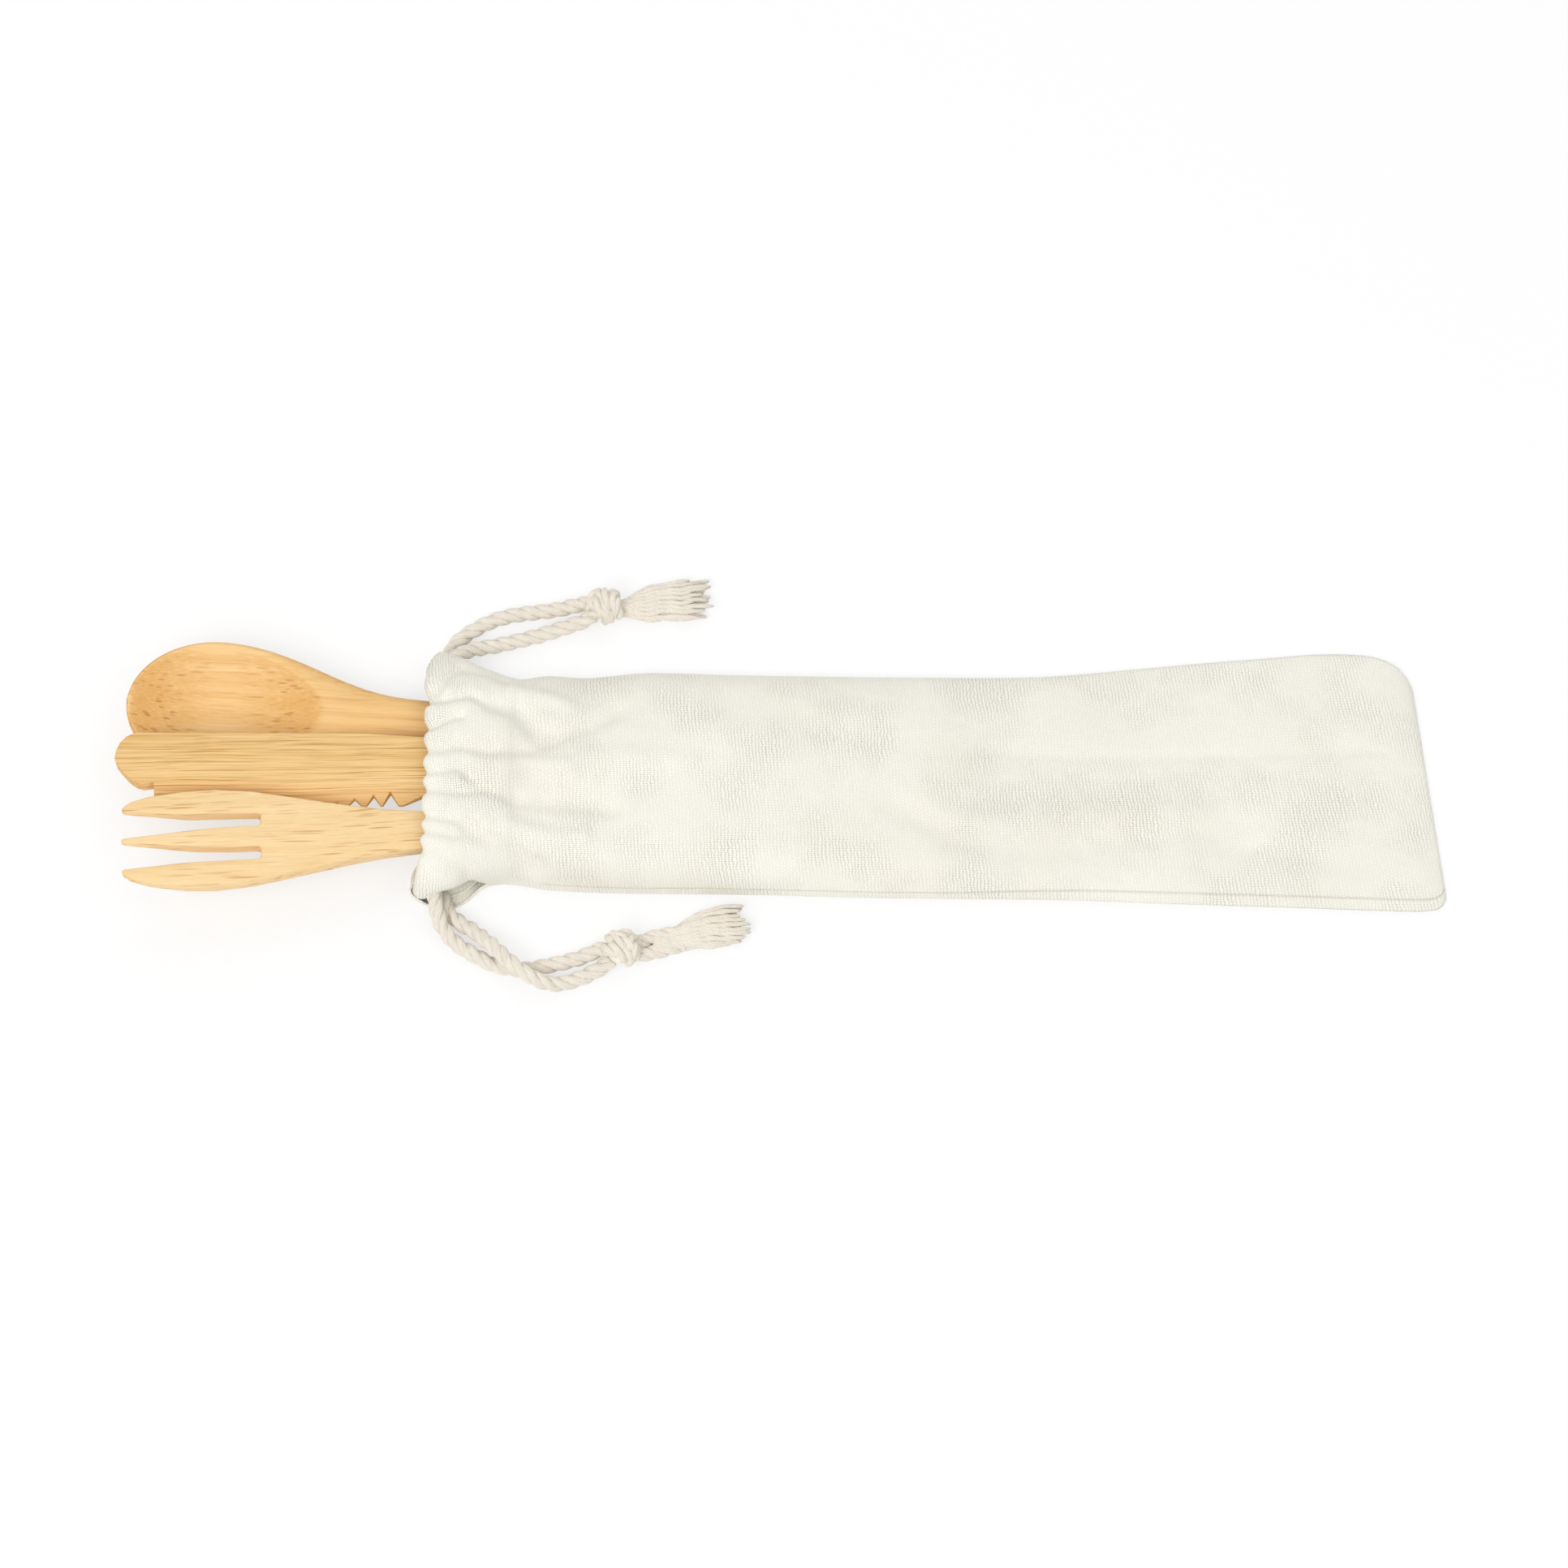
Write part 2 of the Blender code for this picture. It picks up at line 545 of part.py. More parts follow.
def shifted(line, inset):
    """A line of the section moved inwards, square to itself."""
    if not inset:
        return line
    moved = []
    for k, (y, z) in enumerate(line):
        a, b = line[max(k - 1, 0)], line[min(k + 1, len(line) - 1)]
        dy, dz = b[0] - a[0], b[1] - a[1]
        length = math.hypot(dy, dz) or 1.0
        moved.append((y + dz / length * inset, z - dy / length * inset))
    return moved


def placed(x, y, z):
    """A point of the pouch: its mouth is set back at the front, and its closed end is askew."""
    crown, side = smooth_value(CROWN, x), smooth_value(SIDE_HEIGHT, x)
    height = min(1.0, max(0.0, (z - side) / (crown - side)))
    setback = FRONT_LIP_SETBACK * height * (1 - eased(x, MOUTH_X, MOUTH_X + SETBACK_RUN))
    skew = END_SKEW * eased(x, END_SKEW_START, CLOSED_END_X)
    return (x + setback + skew * y, y, z)


def skin_ring(x):
    """Outer skin of the pouch at x, with its gathers."""
    top, bottom = section_line(x, max(0.0, smooth_value(LIP_ROUNDING, x)))
    over, under = 56, 10
    top = evenly(top, over)
    bottom = evenly(bottom, under)
    ring = []
    swell = GATHER_HEIGHT * smooth_value(GATHER_FADE, x)
    ripples = []
    for k in range(over):
        s = k / over
        wave = 0.5 - 0.5 * math.cos(2 * math.pi * GATHERS * (s + 0.012 * math.sin(5 * s * math.pi)))
        ripples.append(swell * wave * min(1.0, 8 * s, 8 * (1 - s)))
    for k in range(over):
        a, b = top[max(k - 1, 0)], top[k + 1]
        dy, dz = b[0] - a[0], b[1] - a[1]
        length = math.hypot(dy, dz) or 1.0
        y = top[k][0] - dz / length * ripples[k]
        z = top[k][1] + dy / length * ripples[k]
        lip = 0.7 * ripples[k] * (1 - eased(x, MOUTH_X, MOUTH_X + LIP_RUN))
        px, py, pz = placed(x, y, z)
        ring.append((px - lip, py, pz))
    ring += [placed(x, *point) for point in bottom[:-1]]
    return ring


def cavity_ring(x):
    """Inside of the pouch at x: between the front and back casing, then between the two cloths."""
    wall = CASING_THICKNESS + (CLOTH - CASING_THICKNESS) * eased(x, STITCH_X - 2.5, STITCH_X + 0.5)
    top, _ = section_line(x, wall)
    floor = wall
    inner = [point for point in top if point[1] > floor + 0.25]
    over = evenly(inner, 28)
    under = evenly([(over[-1][0], floor), (over[0][0], floor)], 8)
    return [placed(x, *point) for point in over + under]


def exit_points(strand):
    """Last two points of the cord in the casing, in line with the strand that it goes on as."""
    start = Vector(strand[0])
    outwards = (Vector(strand[1]) - start).normalized()
    return [start - outwards * EXIT_STRAIGHT, start - outwards * EXIT_GAP]


def casing_route(x, front_strand, back_strand, turns_far):
    """Path of a cord in the casing, at mid-thickness, round the side that its strands don't leave."""
    top, bottom = section_line(x, CASING_THICKNESS / 2)
    if not turns_far:
        top, bottom = [(y, z) for y, z in reversed(top)], [(y, z) for y, z in reversed(bottom)]
    side = 1 if turns_far else -1
    front = [(y, z) for y, z in top if side * y > -CASING_RUN_CUT and z > CASING_SIDE_HEIGHT - 0.4]
    back = [(y, z) for y, z in bottom if side * y > -CASING_RUN_CUT and z < CASING_SIDE_HEIGHT]
    ring = evenly([placed(x, *point) for point in front + back], 26)
    front_end, back_end = exit_points(front_strand), exit_points(back_strand)
    return smooth_route([front_end[1], front_end[0], *ring, *back_end], CASING_CORD_STEP)


def make_pouch(group, cutters, finish, channels, strands):
    """The pouch, one folded and sewn cloth with an open mouth between two casings."""
    pouch = add_mesh("pouch", group, rolled([skin_ring(x) for x in SKIN_STATIONS]), finish)
    rings = [cavity_ring(x) for x in CAVITY_STATIONS]
    before_mouth = [(x - MOUTH_OVERRUN, y, z) for x, y, z in rings[0]]
    cut(pouch, add_mesh("cavity", cutters, rolled([before_mouth] + rings)))
    slit = bmesh.new()
    bmesh.ops.create_cube(slit, size=1.0)
    size = (SLIT_LENGTH + 2 * CUTTER_MARGIN, SLIT_CUTTER_WIDTH, SLIT_HEIGHT)
    centre = (MOUTH_X + SLIT_LENGTH - size[0] / 2, 0.0, CASING_SIDE_HEIGHT)
    bmesh.ops.scale(slit, verts=slit.verts[:], vec=Vector(size) * MM)
    bmesh.ops.translate(slit, verts=slit.verts[:], vec=Vector(centre) * MM)
    cut(pouch, add_mesh("side_slits", cutters, slit))
    for channel in channels:
        cut(pouch, channel)
    for k, strand in enumerate(strands):
        start, after = Vector(strand[0]), Vector(strand[1])
        outwards = (after - start).normalized()
        line = [start - outwards * EXIT_BORE_REACH, start, after + outwards]
        mouth = cord(f"exit_bore_{k}", cutters, line, CORD_DIAMETER + 2 * GAP)
        bpy.context.view_layer.update()
        cut(pouch, mesh_from_curve(mouth, cutters, f"exit_{k}"))


def make_cord_in_casing(name, group, cutters, route, finish):
    """A pressed cord in the casing, and the channel that holds it."""
    cord(name, group, route, PRESSED_CORD_DIAMETER, finish)
    ends = [Vector(p) for p in route]
    before = ends[0] + (ends[0] - ends[1]).normalized() * BORE_OVERRUN
    after = ends[-1] + (ends[-1] - ends[-2]).normalized() * BORE_OVERRUN
    bore = cord(name + "_bore", cutters, [before, *ends, after], PRESSED_CORD_DIAMETER + 2 * GAP)
    bpy.context.view_layer.update()
    return mesh_from_curve(bore, cutters, name + "_channel")


def make_knot(name, group, place, finish):
    """A knot's outer form."""
    mesh = bmesh.new()
    bmesh.ops.create_uvsphere(mesh, u_segments=16, v_segments=10, radius=KNOT_RADIUS * MM)
    knot = add_mesh(name, group, mesh, finish)
    knot.location = Vector((*place, KNOT_RADIUS + FLOOR_GAP)) * MM


def make_tassel(name, group, stations, finish):
    """A frayed cord end: flattened sections along a bent axis, resting on the floor."""
    rings = []
    for x, y, width, height in stations:
        ring = []
        for k in range(TASSEL_SIDES):
            angle = 2 * math.pi * k / TASSEL_SIDES
            ring.append((x + 0.06 * width * math.cos(angle), y + width / 2 * math.cos(angle),
                         FLOOR_GAP + height / 2 * (1 + math.sin(angle))))
        rings.append(ring)
    add_mesh(name, group, rolled(rings), finish)


def main():
    for old in list(bpy.data.objects):
        bpy.data.objects.remove(old)
    parts = collection("cutlery_pack")
    cutters = collection("cutters")
    pale_bamboo = material("spoon_bamboo", (0.86, 0.56, 0.26), 0.5)
    knife_bamboo = material("knife_bamboo", (0.82, 0.54, 0.26), 0.5)
    fork_bamboo = material("fork_bamboo", (0.88, 0.63, 0.33), 0.5)
    cotton = material("cotton_cloth", (0.86, 0.84, 0.74), 0.9)
    cord_cotton = material("cotton_cord", (0.84, 0.76, 0.63), 0.9)

    make_spoon(parts, pale_bamboo)
    make_knife(parts, cutters, knife_bamboo)
    make_fork(parts, cutters, fork_bamboo)

    strands = {
        "upper_strand_front": smooth_route(UPPER_FRONT_ROUTE, STRAND_STEP),
        "upper_strand_back": smooth_route(UPPER_BACK_ROUTE, STRAND_STEP),
        "lower_strand_front": smooth_route(LOWER_FRONT_ROUTE, STRAND_STEP),
        "lower_strand_back": smooth_route(LOWER_BACK_ROUTE, STRAND_STEP),
    }
    for name, route in strands.items():
        cord(name, parts, route, CORD_DIAMETER, cord_cotton)
    upper_front, upper_back, lower_front, lower_back = strands.values()
    upper_route = casing_route(UPPER_CORD_X, upper_front, upper_back, False)
    lower_route = casing_route(LOWER_CORD_X, lower_front, lower_back, True)
    channels = [
        make_cord_in_casing("upper_cord_in_casing", parts, cutters, upper_route, cord_cotton),
        make_cord_in_casing("lower_cord_in_casing", parts, cutters, lower_route, cord_cotton),
    ]
    make_pouch(parts, cutters, cotton, channels, strands.values())
    make_knot("upper_knot", parts, UPPER_KNOT_PLACE, cord_cotton)
    make_knot("lower_knot", parts, LOWER_KNOT_PLACE, cord_cotton)
    make_tassel("upper_tassel", parts, UPPER_TASSEL, cord_cotton)
    make_tassel("lower_tassel", parts, LOWER_TASSEL, cord_cotton)


main()
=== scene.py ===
"""Bamboo spoon, knife and fork in a cotton pouch with two drawcords, on a white floor.

Sizes are in millimetres, in the part's own frame: heads to -X, closed end to +X, floor at Z = 0.
"""
import math

import bmesh
import bpy
import numpy as np
from mathutils import Euler, Matrix, Vector, noise


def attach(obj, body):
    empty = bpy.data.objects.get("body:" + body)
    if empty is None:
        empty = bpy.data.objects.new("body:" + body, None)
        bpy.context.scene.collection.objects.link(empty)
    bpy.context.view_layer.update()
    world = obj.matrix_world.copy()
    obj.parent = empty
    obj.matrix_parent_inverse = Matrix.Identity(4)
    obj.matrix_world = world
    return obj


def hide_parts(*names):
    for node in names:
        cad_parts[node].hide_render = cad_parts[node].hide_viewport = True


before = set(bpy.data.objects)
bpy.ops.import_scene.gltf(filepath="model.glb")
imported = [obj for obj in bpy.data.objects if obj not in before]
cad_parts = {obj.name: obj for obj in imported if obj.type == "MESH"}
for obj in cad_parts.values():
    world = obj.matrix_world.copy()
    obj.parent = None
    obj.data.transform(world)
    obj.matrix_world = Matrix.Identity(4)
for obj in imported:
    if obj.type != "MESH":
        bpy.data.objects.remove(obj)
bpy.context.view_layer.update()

MM = 0.001

# Distances within which the points of a mesh are made one, in metres
ROPE_MERGE = 0.000002
SOLID_MERGE = 0.000005
CLOTH_MERGE = 0.00003

# How the utensils lie: tip, turn in degrees, height of the tip's underside and slope to the handle
SPOON_LIE = ((-165.2, 18.25, 7.9), -2.8, 0.0352)
KNIFE_LIE = ((-166.1, -2.75, 12.45), 1.52, 0.0352)
FORK_LIE = ((-162.6, -22.85, 16.1), 4.05, 0.0774)

# Pouch
MOUTH_X = -92.0
STITCH_X = -66.5
CLOSED_END_X = 163.3
CLOTH = 0.45
HEM_DEPTH = 3.5
LIP_SETBACK = 3.3
SETBACK_RUN = 16.0
LIP_RUN = 6.0
END_SKEW = -0.085
END_SKEW_START = 60.0
SLIT_START_X = -88.0
SLIT_END_X = -72.5
NEAR_SLIT = 3.4
FAR_SLIT = 0.5
FRONT_LIFT = 0.15
FRONT_DRAW = 0.85
BACK_LIFT = -1.1
BACK_DRAW = -0.35
BACK_SETBACK = 5.0
BACK_SETBACK_RUN = 14.0
BACK_LIP_REACH = 5.7
BACK_LIP_SIDE = (15.0, 26.0)
DEEPEST_CREASE = 2.3
CREASE_SCALE = 1.9
CORNER_RUN = 2.5
END_ROUNDING = 1.2
GATHER_SWELL = 0.9
WAVE_HEIGHT = 0.33
WAVE_SIZES = (15.0, 5.0)
ARCH_CHANGE = (20.0, 90.0)
LIP_NOTCH = 0.75
FAR_LIP_SETBACK = 1.3
FAR_LIP_SIDE = (20.0, 30.0)
FRONT_COLUMNS = 112
BACK_COLUMNS = 56
CLOTH_WIDTH = 74.0

# Spacing of the weave's threads along and across the pouch, and the groove of the near side seam
PICK = 0.86
END = 0.47
NEAR_SEAM = 3.3

FAR_EDGE = (
    (-92.0, 31.2), (-88.0, 34.3), (-82.0, 32.9), (-75.0, 29.6), (-67.5, 27.6), (-60.0, 29.0),
    (-50.0, 28.6), (-34.0, 30.2), (-10.0, 29.6), (30.0, 29.0), (65.0, 29.2), (90.0, 31.4),
    (107.0, 33.0), (124.0, 34.4), (140.0, 35.7), (152.0, 35.4), (158.0, 33.6), (161.6, 30.4),
    (163.3, 25.6),
)
NEAR_EDGE = (
    (-92.0, -31.5), (-88.0, -32.9), (-82.0, -32.2), (-75.0, -28.8), (-68.0, -27.6), (-58.0, -28.8),
    (-42.0, -29.5), (-9.0, -29.9), (23.0, -30.8), (72.0, -31.4), (96.0, -32.3), (128.0, -33.4),
    (150.0, -34.2), (158.0, -34.2), (161.6, -33.2), (163.3, -30.6),
)
CROWN = (
    (-92.0, 20.0), (-88.0, 20.3), (-80.0, 20.1), (-71.0, 19.4), (-68.0, 18.5), (-66.5, 17.5),
    (-64.0, 16.6), (-58.0, 15.6), (-40.0, 14.3), (0.0, 12.7), (30.0, 11.5), (38.0, 10.9),
    (48.0, 8.8), (60.0, 6.6), (78.0, 4.6), (105.0, 3.4), (135.0, 2.9), (157.0, 2.6), (163.3, 1.8),
)
SIDE_HEIGHT = ((-92.0, 4.35), (-74.0, 4.35), (-62.0, 1.6), (30.0, 1.4), (163.3, 1.0))
GATHER_FADE = (
    (-92.0, 0.9), (-86.0, 1.0), (-76.0, 0.8), (-68.5, 0.5), (-63.0, 0.35), (-56.0, 0.15),
    (-46.0, 0.0), (163.3, 0.0),
)

# Creases of the front cloth, seen from above: half width, depth and points. Below 0 it is a ridge.
CREASES = (
    (1.7, 0.8, ((-93.0, 17.0), (-88.8, 18.1), (-85.9, 22.9), (-81.7, 25.7), (-73.3, 25.7), (-70.4, 24.0))),
    (1.3, 0.9, ((-93.0, 15.3), (-87.0, 15.3), (-83.4, 16.1), (-78.3, 17.1), (-75.4, 15.9), (-69.7, 14.3))),
    (2.6, 1.5, ((-72.0, 15.0), (-67.0, 14.2), (-64.1, 11.7), (-61.2, 8.2), (-57.5, 7.4))),
    (2.6, 0.8, ((-57.5, 7.4), (-53.5, 9.2), (-47.5, 11.2), (-41.9, 15.2))),
    (1.3, 0.9, ((-93.0, 7.5), (-89.1, 8.2), (-86.7, 9.4), (-83.2, 10.6), (-80.4, 10.8))),
    (1.6, 0.9, ((-93.0, 1.6), (-86.5, 2.0), (-82.9, 2.9), (-77.6, 2.4), (-72.0, 2.1))),
    (2.2, 0.9, ((-74.0, 2.3), (-66.6, 2.9), (-63.4, 3.4), (-60.7, 5.3))),
    (1.3, 0.8, ((-93.0, -4.2), (-86.3, -3.9), (-82.7, -3.2), (-80.3, -3.4), (-77.4, -5.0))),
    (1.8, 1.1, ((-77.4, -5.0), (-74.5, -7.3), (-71.7, -8.9), (-66.3, -10.1))),
    (2.7, 1.2, ((-66.3, -10.1), (-60.7, -9.8), (-53.1, -9.8), (-43.0, -11.4))),
    (4.0, 0.6, ((-62.0, -4.5), (-52.0, -6.0), (-42.0, -7.0))),
    (5.0, 0.35, ((-46.0, 18.0), (-36.0, 15.5), (-28.0, 12.0))),
    (3.0, -0.5, ((-50.0, 1.5), (-38.0, 2.5), (-24.0, 1.0))),
    (1.4, 0.9, ((-93.0, -8.9), (-86.1, -9.1), (-82.5, -9.5), (-77.3, -9.6), (-74.5, -8.4))),
    (1.3, 0.9, ((-93.0, -15.6), (-85.8, -16.6), (-82.2, -16.8), (-79.8, -17.4), (-77.0, -19.2))),
    (1.7, 1.8, ((-77.0, -19.2), (-71.4, -22.2), (-66.0, -23.7), (-63.3, -25.5), (-60.1, -26.3))),
    (1.2, 0.8, ((-93.0, -19.7), (-85.7, -20.4), (-82.1, -21.0), (-78.9, -20.9))),
    (1.5, 0.7, ((-93.0, -24.4), (-85.6, -25.8), (-82.0, -27.3), (-77.9, -28.5))),
    (2.4, -0.8, ((-69.1, -2.5), (-63.3, -0.8), (-53.3, -0.7))),
    (2.2, -0.7, ((-66.9, -17.4), (-57.3, -19.9), (-48.9, -19.3))),
    (2.2, -0.6, ((-66.5, 20.0), (-60.0, 18.4), (-54.0, 16.6))),
    (5.0, 0.5, ((-13.0, 17.0), (-0.7, 14.7), (11.5, 10.2), (21.7, 9.2))),
    (3.6, 0.6, ((27.6, -9.5), (42.7, -17.5), (62.6, -19.7), (92.0, -15.1), (115.4, -11.0))),
    (3.2, -0.5, ((43.8, -13.1), (68.4, -10.4), (105.3, -8.4))),
    (2.0, 0.28, ((52.3, 6.0), (92.7, 6.4), (151.2, 8.8))),
    (3.5, 0.4, ((109.6, -17.3), (132.8, -20.8), (144.3, -22.1))),
)

# Drawcords
CORD_DIAMETER = 4.0
CORD_LAY = 11.5
CORD_STEP = 0.4
LAY_DEPTH = 0.6
END_RADIUS = 1.9
PRESSED_CORD_DIAMETER = 2.6
CASING_CORD_INSET = 2.0
CASING_SETBACK = 4.0
CREASE_FOLLOWING = 0.7
CASING_POINTS = 60
UPPER_CORD_X = -80.5
LOWER_CORD_X = -88.0
STRAND_TUCK = 4.0
KNOT_TUCK = 2.6
KNOT_CORE = 3.7
YARN = 0.55
YARN_STEP = 0.45
UPPER_KNOT_PLACE = (-45.4, 47.5, 5.05)
LOWER_KNOT_PLACE = (-39.8, -45.6, 5.05)

# Turns of the knots: normal, offset, ring and cord radius, from and to in degrees off the top, lay
UPPER_WRAPS = (
    ((1.0, 0.15, 0.1), 2.7, 2.5, 1.75, -130.0, 130.0, 9.0),
    ((0.8, 0.6, 0.0), 0.9, 3.1, 1.95, -120.0, 115.0, 10.0),
    ((0.75, 0.66, 0.1), -1.7, 2.9, 1.95, -120.0, 120.0, 10.0),
    ((0.95, -0.3, 0.1), -3.0, 2.0, 1.7, -120.0, 120.0, 9.0),
    ((0.3, 1.0, -0.2), -3.2, 1.9, 1.6, -110.0, 110.0, 9.0),
)
LOWER_WRAPS = (
    ((1.0, -0.2, 0.1), 2.8, 2.3, 1.7, -130.0, 130.0, 9.0),
    ((0.75, 0.66, 0.1), 1.0, 3.0, 1.95, -120.0, 115.0, 10.0),
    ((0.7, 0.7, 0.0), -1.6, 2.9, 1.95, -120.0, 120.0, 10.0),
    ((0.2, 1.0, 0.2), 3.0, 2.1, 1.7, -110.0, 110.0, 9.0),
)

# Yarns of a tassel: how many, their radius and how high they lie
TASSEL_LAYERS = ((10, 1.0, 0.1), (10, 0.9, 0.5), (9, 0.8, 1.0))
UPPER_TASSEL = (
    (-42.4, 48.0, 4.0, 4.4), (-39.6, 48.4, 5.8, 4.8), (-37.0, 49.0, 8.4, 4.8), (-34.0, 49.6, 10.6, 4.8),
    (-30.0, 50.0, 11.6, 4.6), (-26.0, 50.5, 12.0, 4.4), (-22.0, 51.0, 12.8, 4.0), (-17.4, 51.3, 13.0, 3.6),
)
LOWER_TASSEL = (
    (-32.0, -43.4, 5.0, 4.0), (-29.0, -42.6, 6.2, 4.2), (-25.0, -41.2, 7.8, 4.4), (-21.5, -40.0, 9.8, 4.6),
    (-18.0, -39.0, 11.6, 4.4), (-14.0, -38.4, 11.8, 4.2), (-9.0, -38.0, 11.6, 3.8), (-7.6, -37.9, 11.4, 3.6),
)
# The lower cord's two ends, still twisted between the knot and the tassel
LOWER_ENDS = (
    ((-38.0, -44.2, 3.2), (-35.0, -42.8, 2.7), (-31.5, -41.6, 2.5), (-28.5, -40.9, 2.4), (-26.0, -40.4, 2.2)),
    ((-38.0, -46.4, 2.8), (-34.5, -46.0, 2.3), (-30.5, -45.1, 2.1), (-27.0, -44.0, 2.0), (-24.0, -43.0, 1.9)),
)
UPPER_FRONT_ROUTE = (
    (-82.6, 31.8, 8.0), (-81.0, 34.2, 5.7), (-78.0, 36.2, 3.5), (-73.8, 37.5, 2.3),
    (-69.4, 38.7, 2.05), (-63.2, 40.3, 2.05), (-57.2, 42.2, 2.4), (-53.2, 43.3, 3.2),
    (-50.2, 44.1, 4.1),
)
UPPER_BACK_ROUTE = (
    (-85.1, 33.2, 2.2), (-84.6, 36.4, 2.05), (-82.3, 39.6, 2.05), (-79.1, 42.0, 2.05),
    (-75.8, 44.0, 2.05), (-72.4, 45.4, 2.05), (-68.4, 46.4, 2.05), (-63.3, 47.1, 2.05),
    (-57.3, 47.8, 2.5), (-50.9, 48.6, 4.1),
)
LOWER_FRONT_ROUTE = (
    (-86.2, -32.2, 6.9), (-85.7, -35.2, 5.9), (-84.3, -39.2, 4.0), (-81.2, -42.9, 2.4),
    (-76.6, -45.9, 2.05), (-72.4, -48.2, 2.05), (-68.0, -49.5, 2.05), (-63.4, -49.9, 2.05),
    (-59.6, -49.3, 2.05), (-56.1, -48.5, 2.05), (-52.1, -47.6, 2.2), (-48.6, -46.6, 3.0),
    (-45.4, -45.5, 4.0),
)
LOWER_BACK_ROUTE = (
    (-84.0, -32.6, 2.2), (-82.9, -35.0, 2.1), (-80.3, -37.5, 2.2), (-76.2, -40.4, 2.9),
    (-71.9, -44.4, 5.1), (-67.2, -49.2, 6.5), (-63.4, -52.2, 6.5), (-59.7, -53.8, 4.8),
    (-56.0, -54.0, 2.9), (-52.0, -53.0, 2.05), (-48.0, -51.4, 2.3), (-43.9, -49.3, 3.2),
)

# Camera and light
CAMERA_TARGET = (0.5, -1.6, 5.0)
CAMERA_ELEVATION = 68.0
CAMERA_DISTANCE = 940.0
CAMERA_LENS = 85.83
FLOOR_SIZE = 12.0
FLOOR_WHITENING = 0.62
SKY_STRENGTH = 0.57
KEY_POWER = 10.8
FILL_POWER = 3.8
BACK_POWER = 5.6


def linear(red, green, blue):
    """A colour written as on a screen, 0 to 255, as the shader's linear values."""
    values = []
    for part in (red, green, blue):
        share = part / 255
        values.append(share / 12.92 if share <= 0.04045 else ((share + 0.055) / 1.055) ** 2.4)
    return (*values, 1.0)


def smooth_value(table, x):
    """Values at x on a smooth curve through the table's points."""
    xs, ys = np.array(table).T
    high = np.minimum(np.arange(len(xs)) + 1, len(xs) - 1)
    low = np.maximum(np.arange(len(xs)) - 1, 0)
    slopes = (ys[high] - ys[low]) / (xs[high] - xs[low])
    x = np.clip(x, xs[0], xs[-1])
    k = np.clip(np.searchsorted(xs, x, side="right") - 1, 0, len(xs) - 2)
    span = xs[k + 1] - xs[k]
    t = (x - xs[k]) / span
    start = (2 * t ** 3 - 3 * t ** 2 + 1) * ys[k] + (t ** 3 - 2 * t ** 2 + t) * span * slopes[k]
    return start + (3 * t ** 2 - 2 * t ** 3) * ys[k + 1] + (t ** 3 - t ** 2) * span * slopes[k + 1]


def eased(x, low, high):
    """0 below low, 1 above high, a smooth step between."""
    t = np.clip((x - low) / (high - low), 0.0, 1.0)
    return t * t * (3 - 2 * t)


def evenly(points, count):
    """Points spaced evenly along a polyline, both ends kept."""
    points = np.asarray(points, float)
    run = np.concatenate(([0.0], np.cumsum(np.linalg.norm(np.diff(points, axis=0), axis=1))))
    want = np.linspace(0.0, run[-1], count + 1)
    return np.stack([np.interp(want, run, points[:, k]) for k in range(points.shape[1])], axis=1)


def smooth_route(points, step):
    """A smooth curve through given points, with a point about every step."""
    route = [np.array(p, float) for p in points]
    padded = [2 * route[0] - route[1]] + route + [2 * route[-1] - route[-2]]
    dense = []
    for a, b, c, d in zip(padded, padded[1:], padded[2:], padded[3:]):
        for t in np.linspace(0.0, 1.0, 12, endpoint=False):
            dense.append(0.5 * (2 * b + (c - a) * t + (2 * a - 5 * b + 4 * c - d) * t ** 2
                                + (3 * b - a - 3 * c + d) * t ** 3))
    dense.append(route[-1])
    length = route_length(dense)
    return evenly(dense, max(4, round(length / step)))


def route_length(points):
    return float(np.linalg.norm(np.diff(np.asarray(points), axis=0), axis=1).sum())


def ripple(place, scale, seed):
    """Soft noise from -1 to 1 at a place in millimetres, with features about scale wide."""
    return noise.noise(Vector(place) / scale + Vector((seed * 7.3, seed * 3.1, seed * 5.7)))


# Pieces

def add_piece(name, mesh, finish, slot_name, *nodes):
    """Link a bmesh as a piece that rides with the set and stands for CAD nodes."""
    data = bpy.data.meshes.new(name)
    mesh.to_mesh(data)
    mesh.free()
    data.shade_smooth()
    piece = bpy.data.objects.new(name, data)
    bpy.context.scene.collection.objects.link(piece)
    data.materials.append(finish)
    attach(piece, "root")
    if nodes:
        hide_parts(*nodes)
    return piece


def thread_map(mesh):
    """The UV layer that the cloth and cord materials read, in millimetres."""
    return mesh.loops.layers.uv.get("threads") or mesh.loops.layers.uv.new("threads")


def loft(mesh, rows, uv, wrap=False):
    """A surface through rows of points, with a UV pair in millimetres for each point."""
    rows = np.asarray(rows)
    along = rows.shape[0] - 1
    around = rows.shape[1] if wrap else rows.shape[1] - 1
    made = bmesh.ops.create_grid(mesh, x_segments=along, y_segments=around, size=0.5)
    threads = thread_map(mesh)
    where = {}
    for vert in made["verts"]:
        where[vert] = (round((vert.co.x + 0.5) * along), round((vert.co.y + 0.5) * around))
    for vert, (row, turn) in where.items():
        for loop in vert.link_loops:
            loop[threads].uv = uv(row, turn)
        vert.co = Vector(rows[row][turn % rows.shape[1]]) * MM
    return made["verts"]


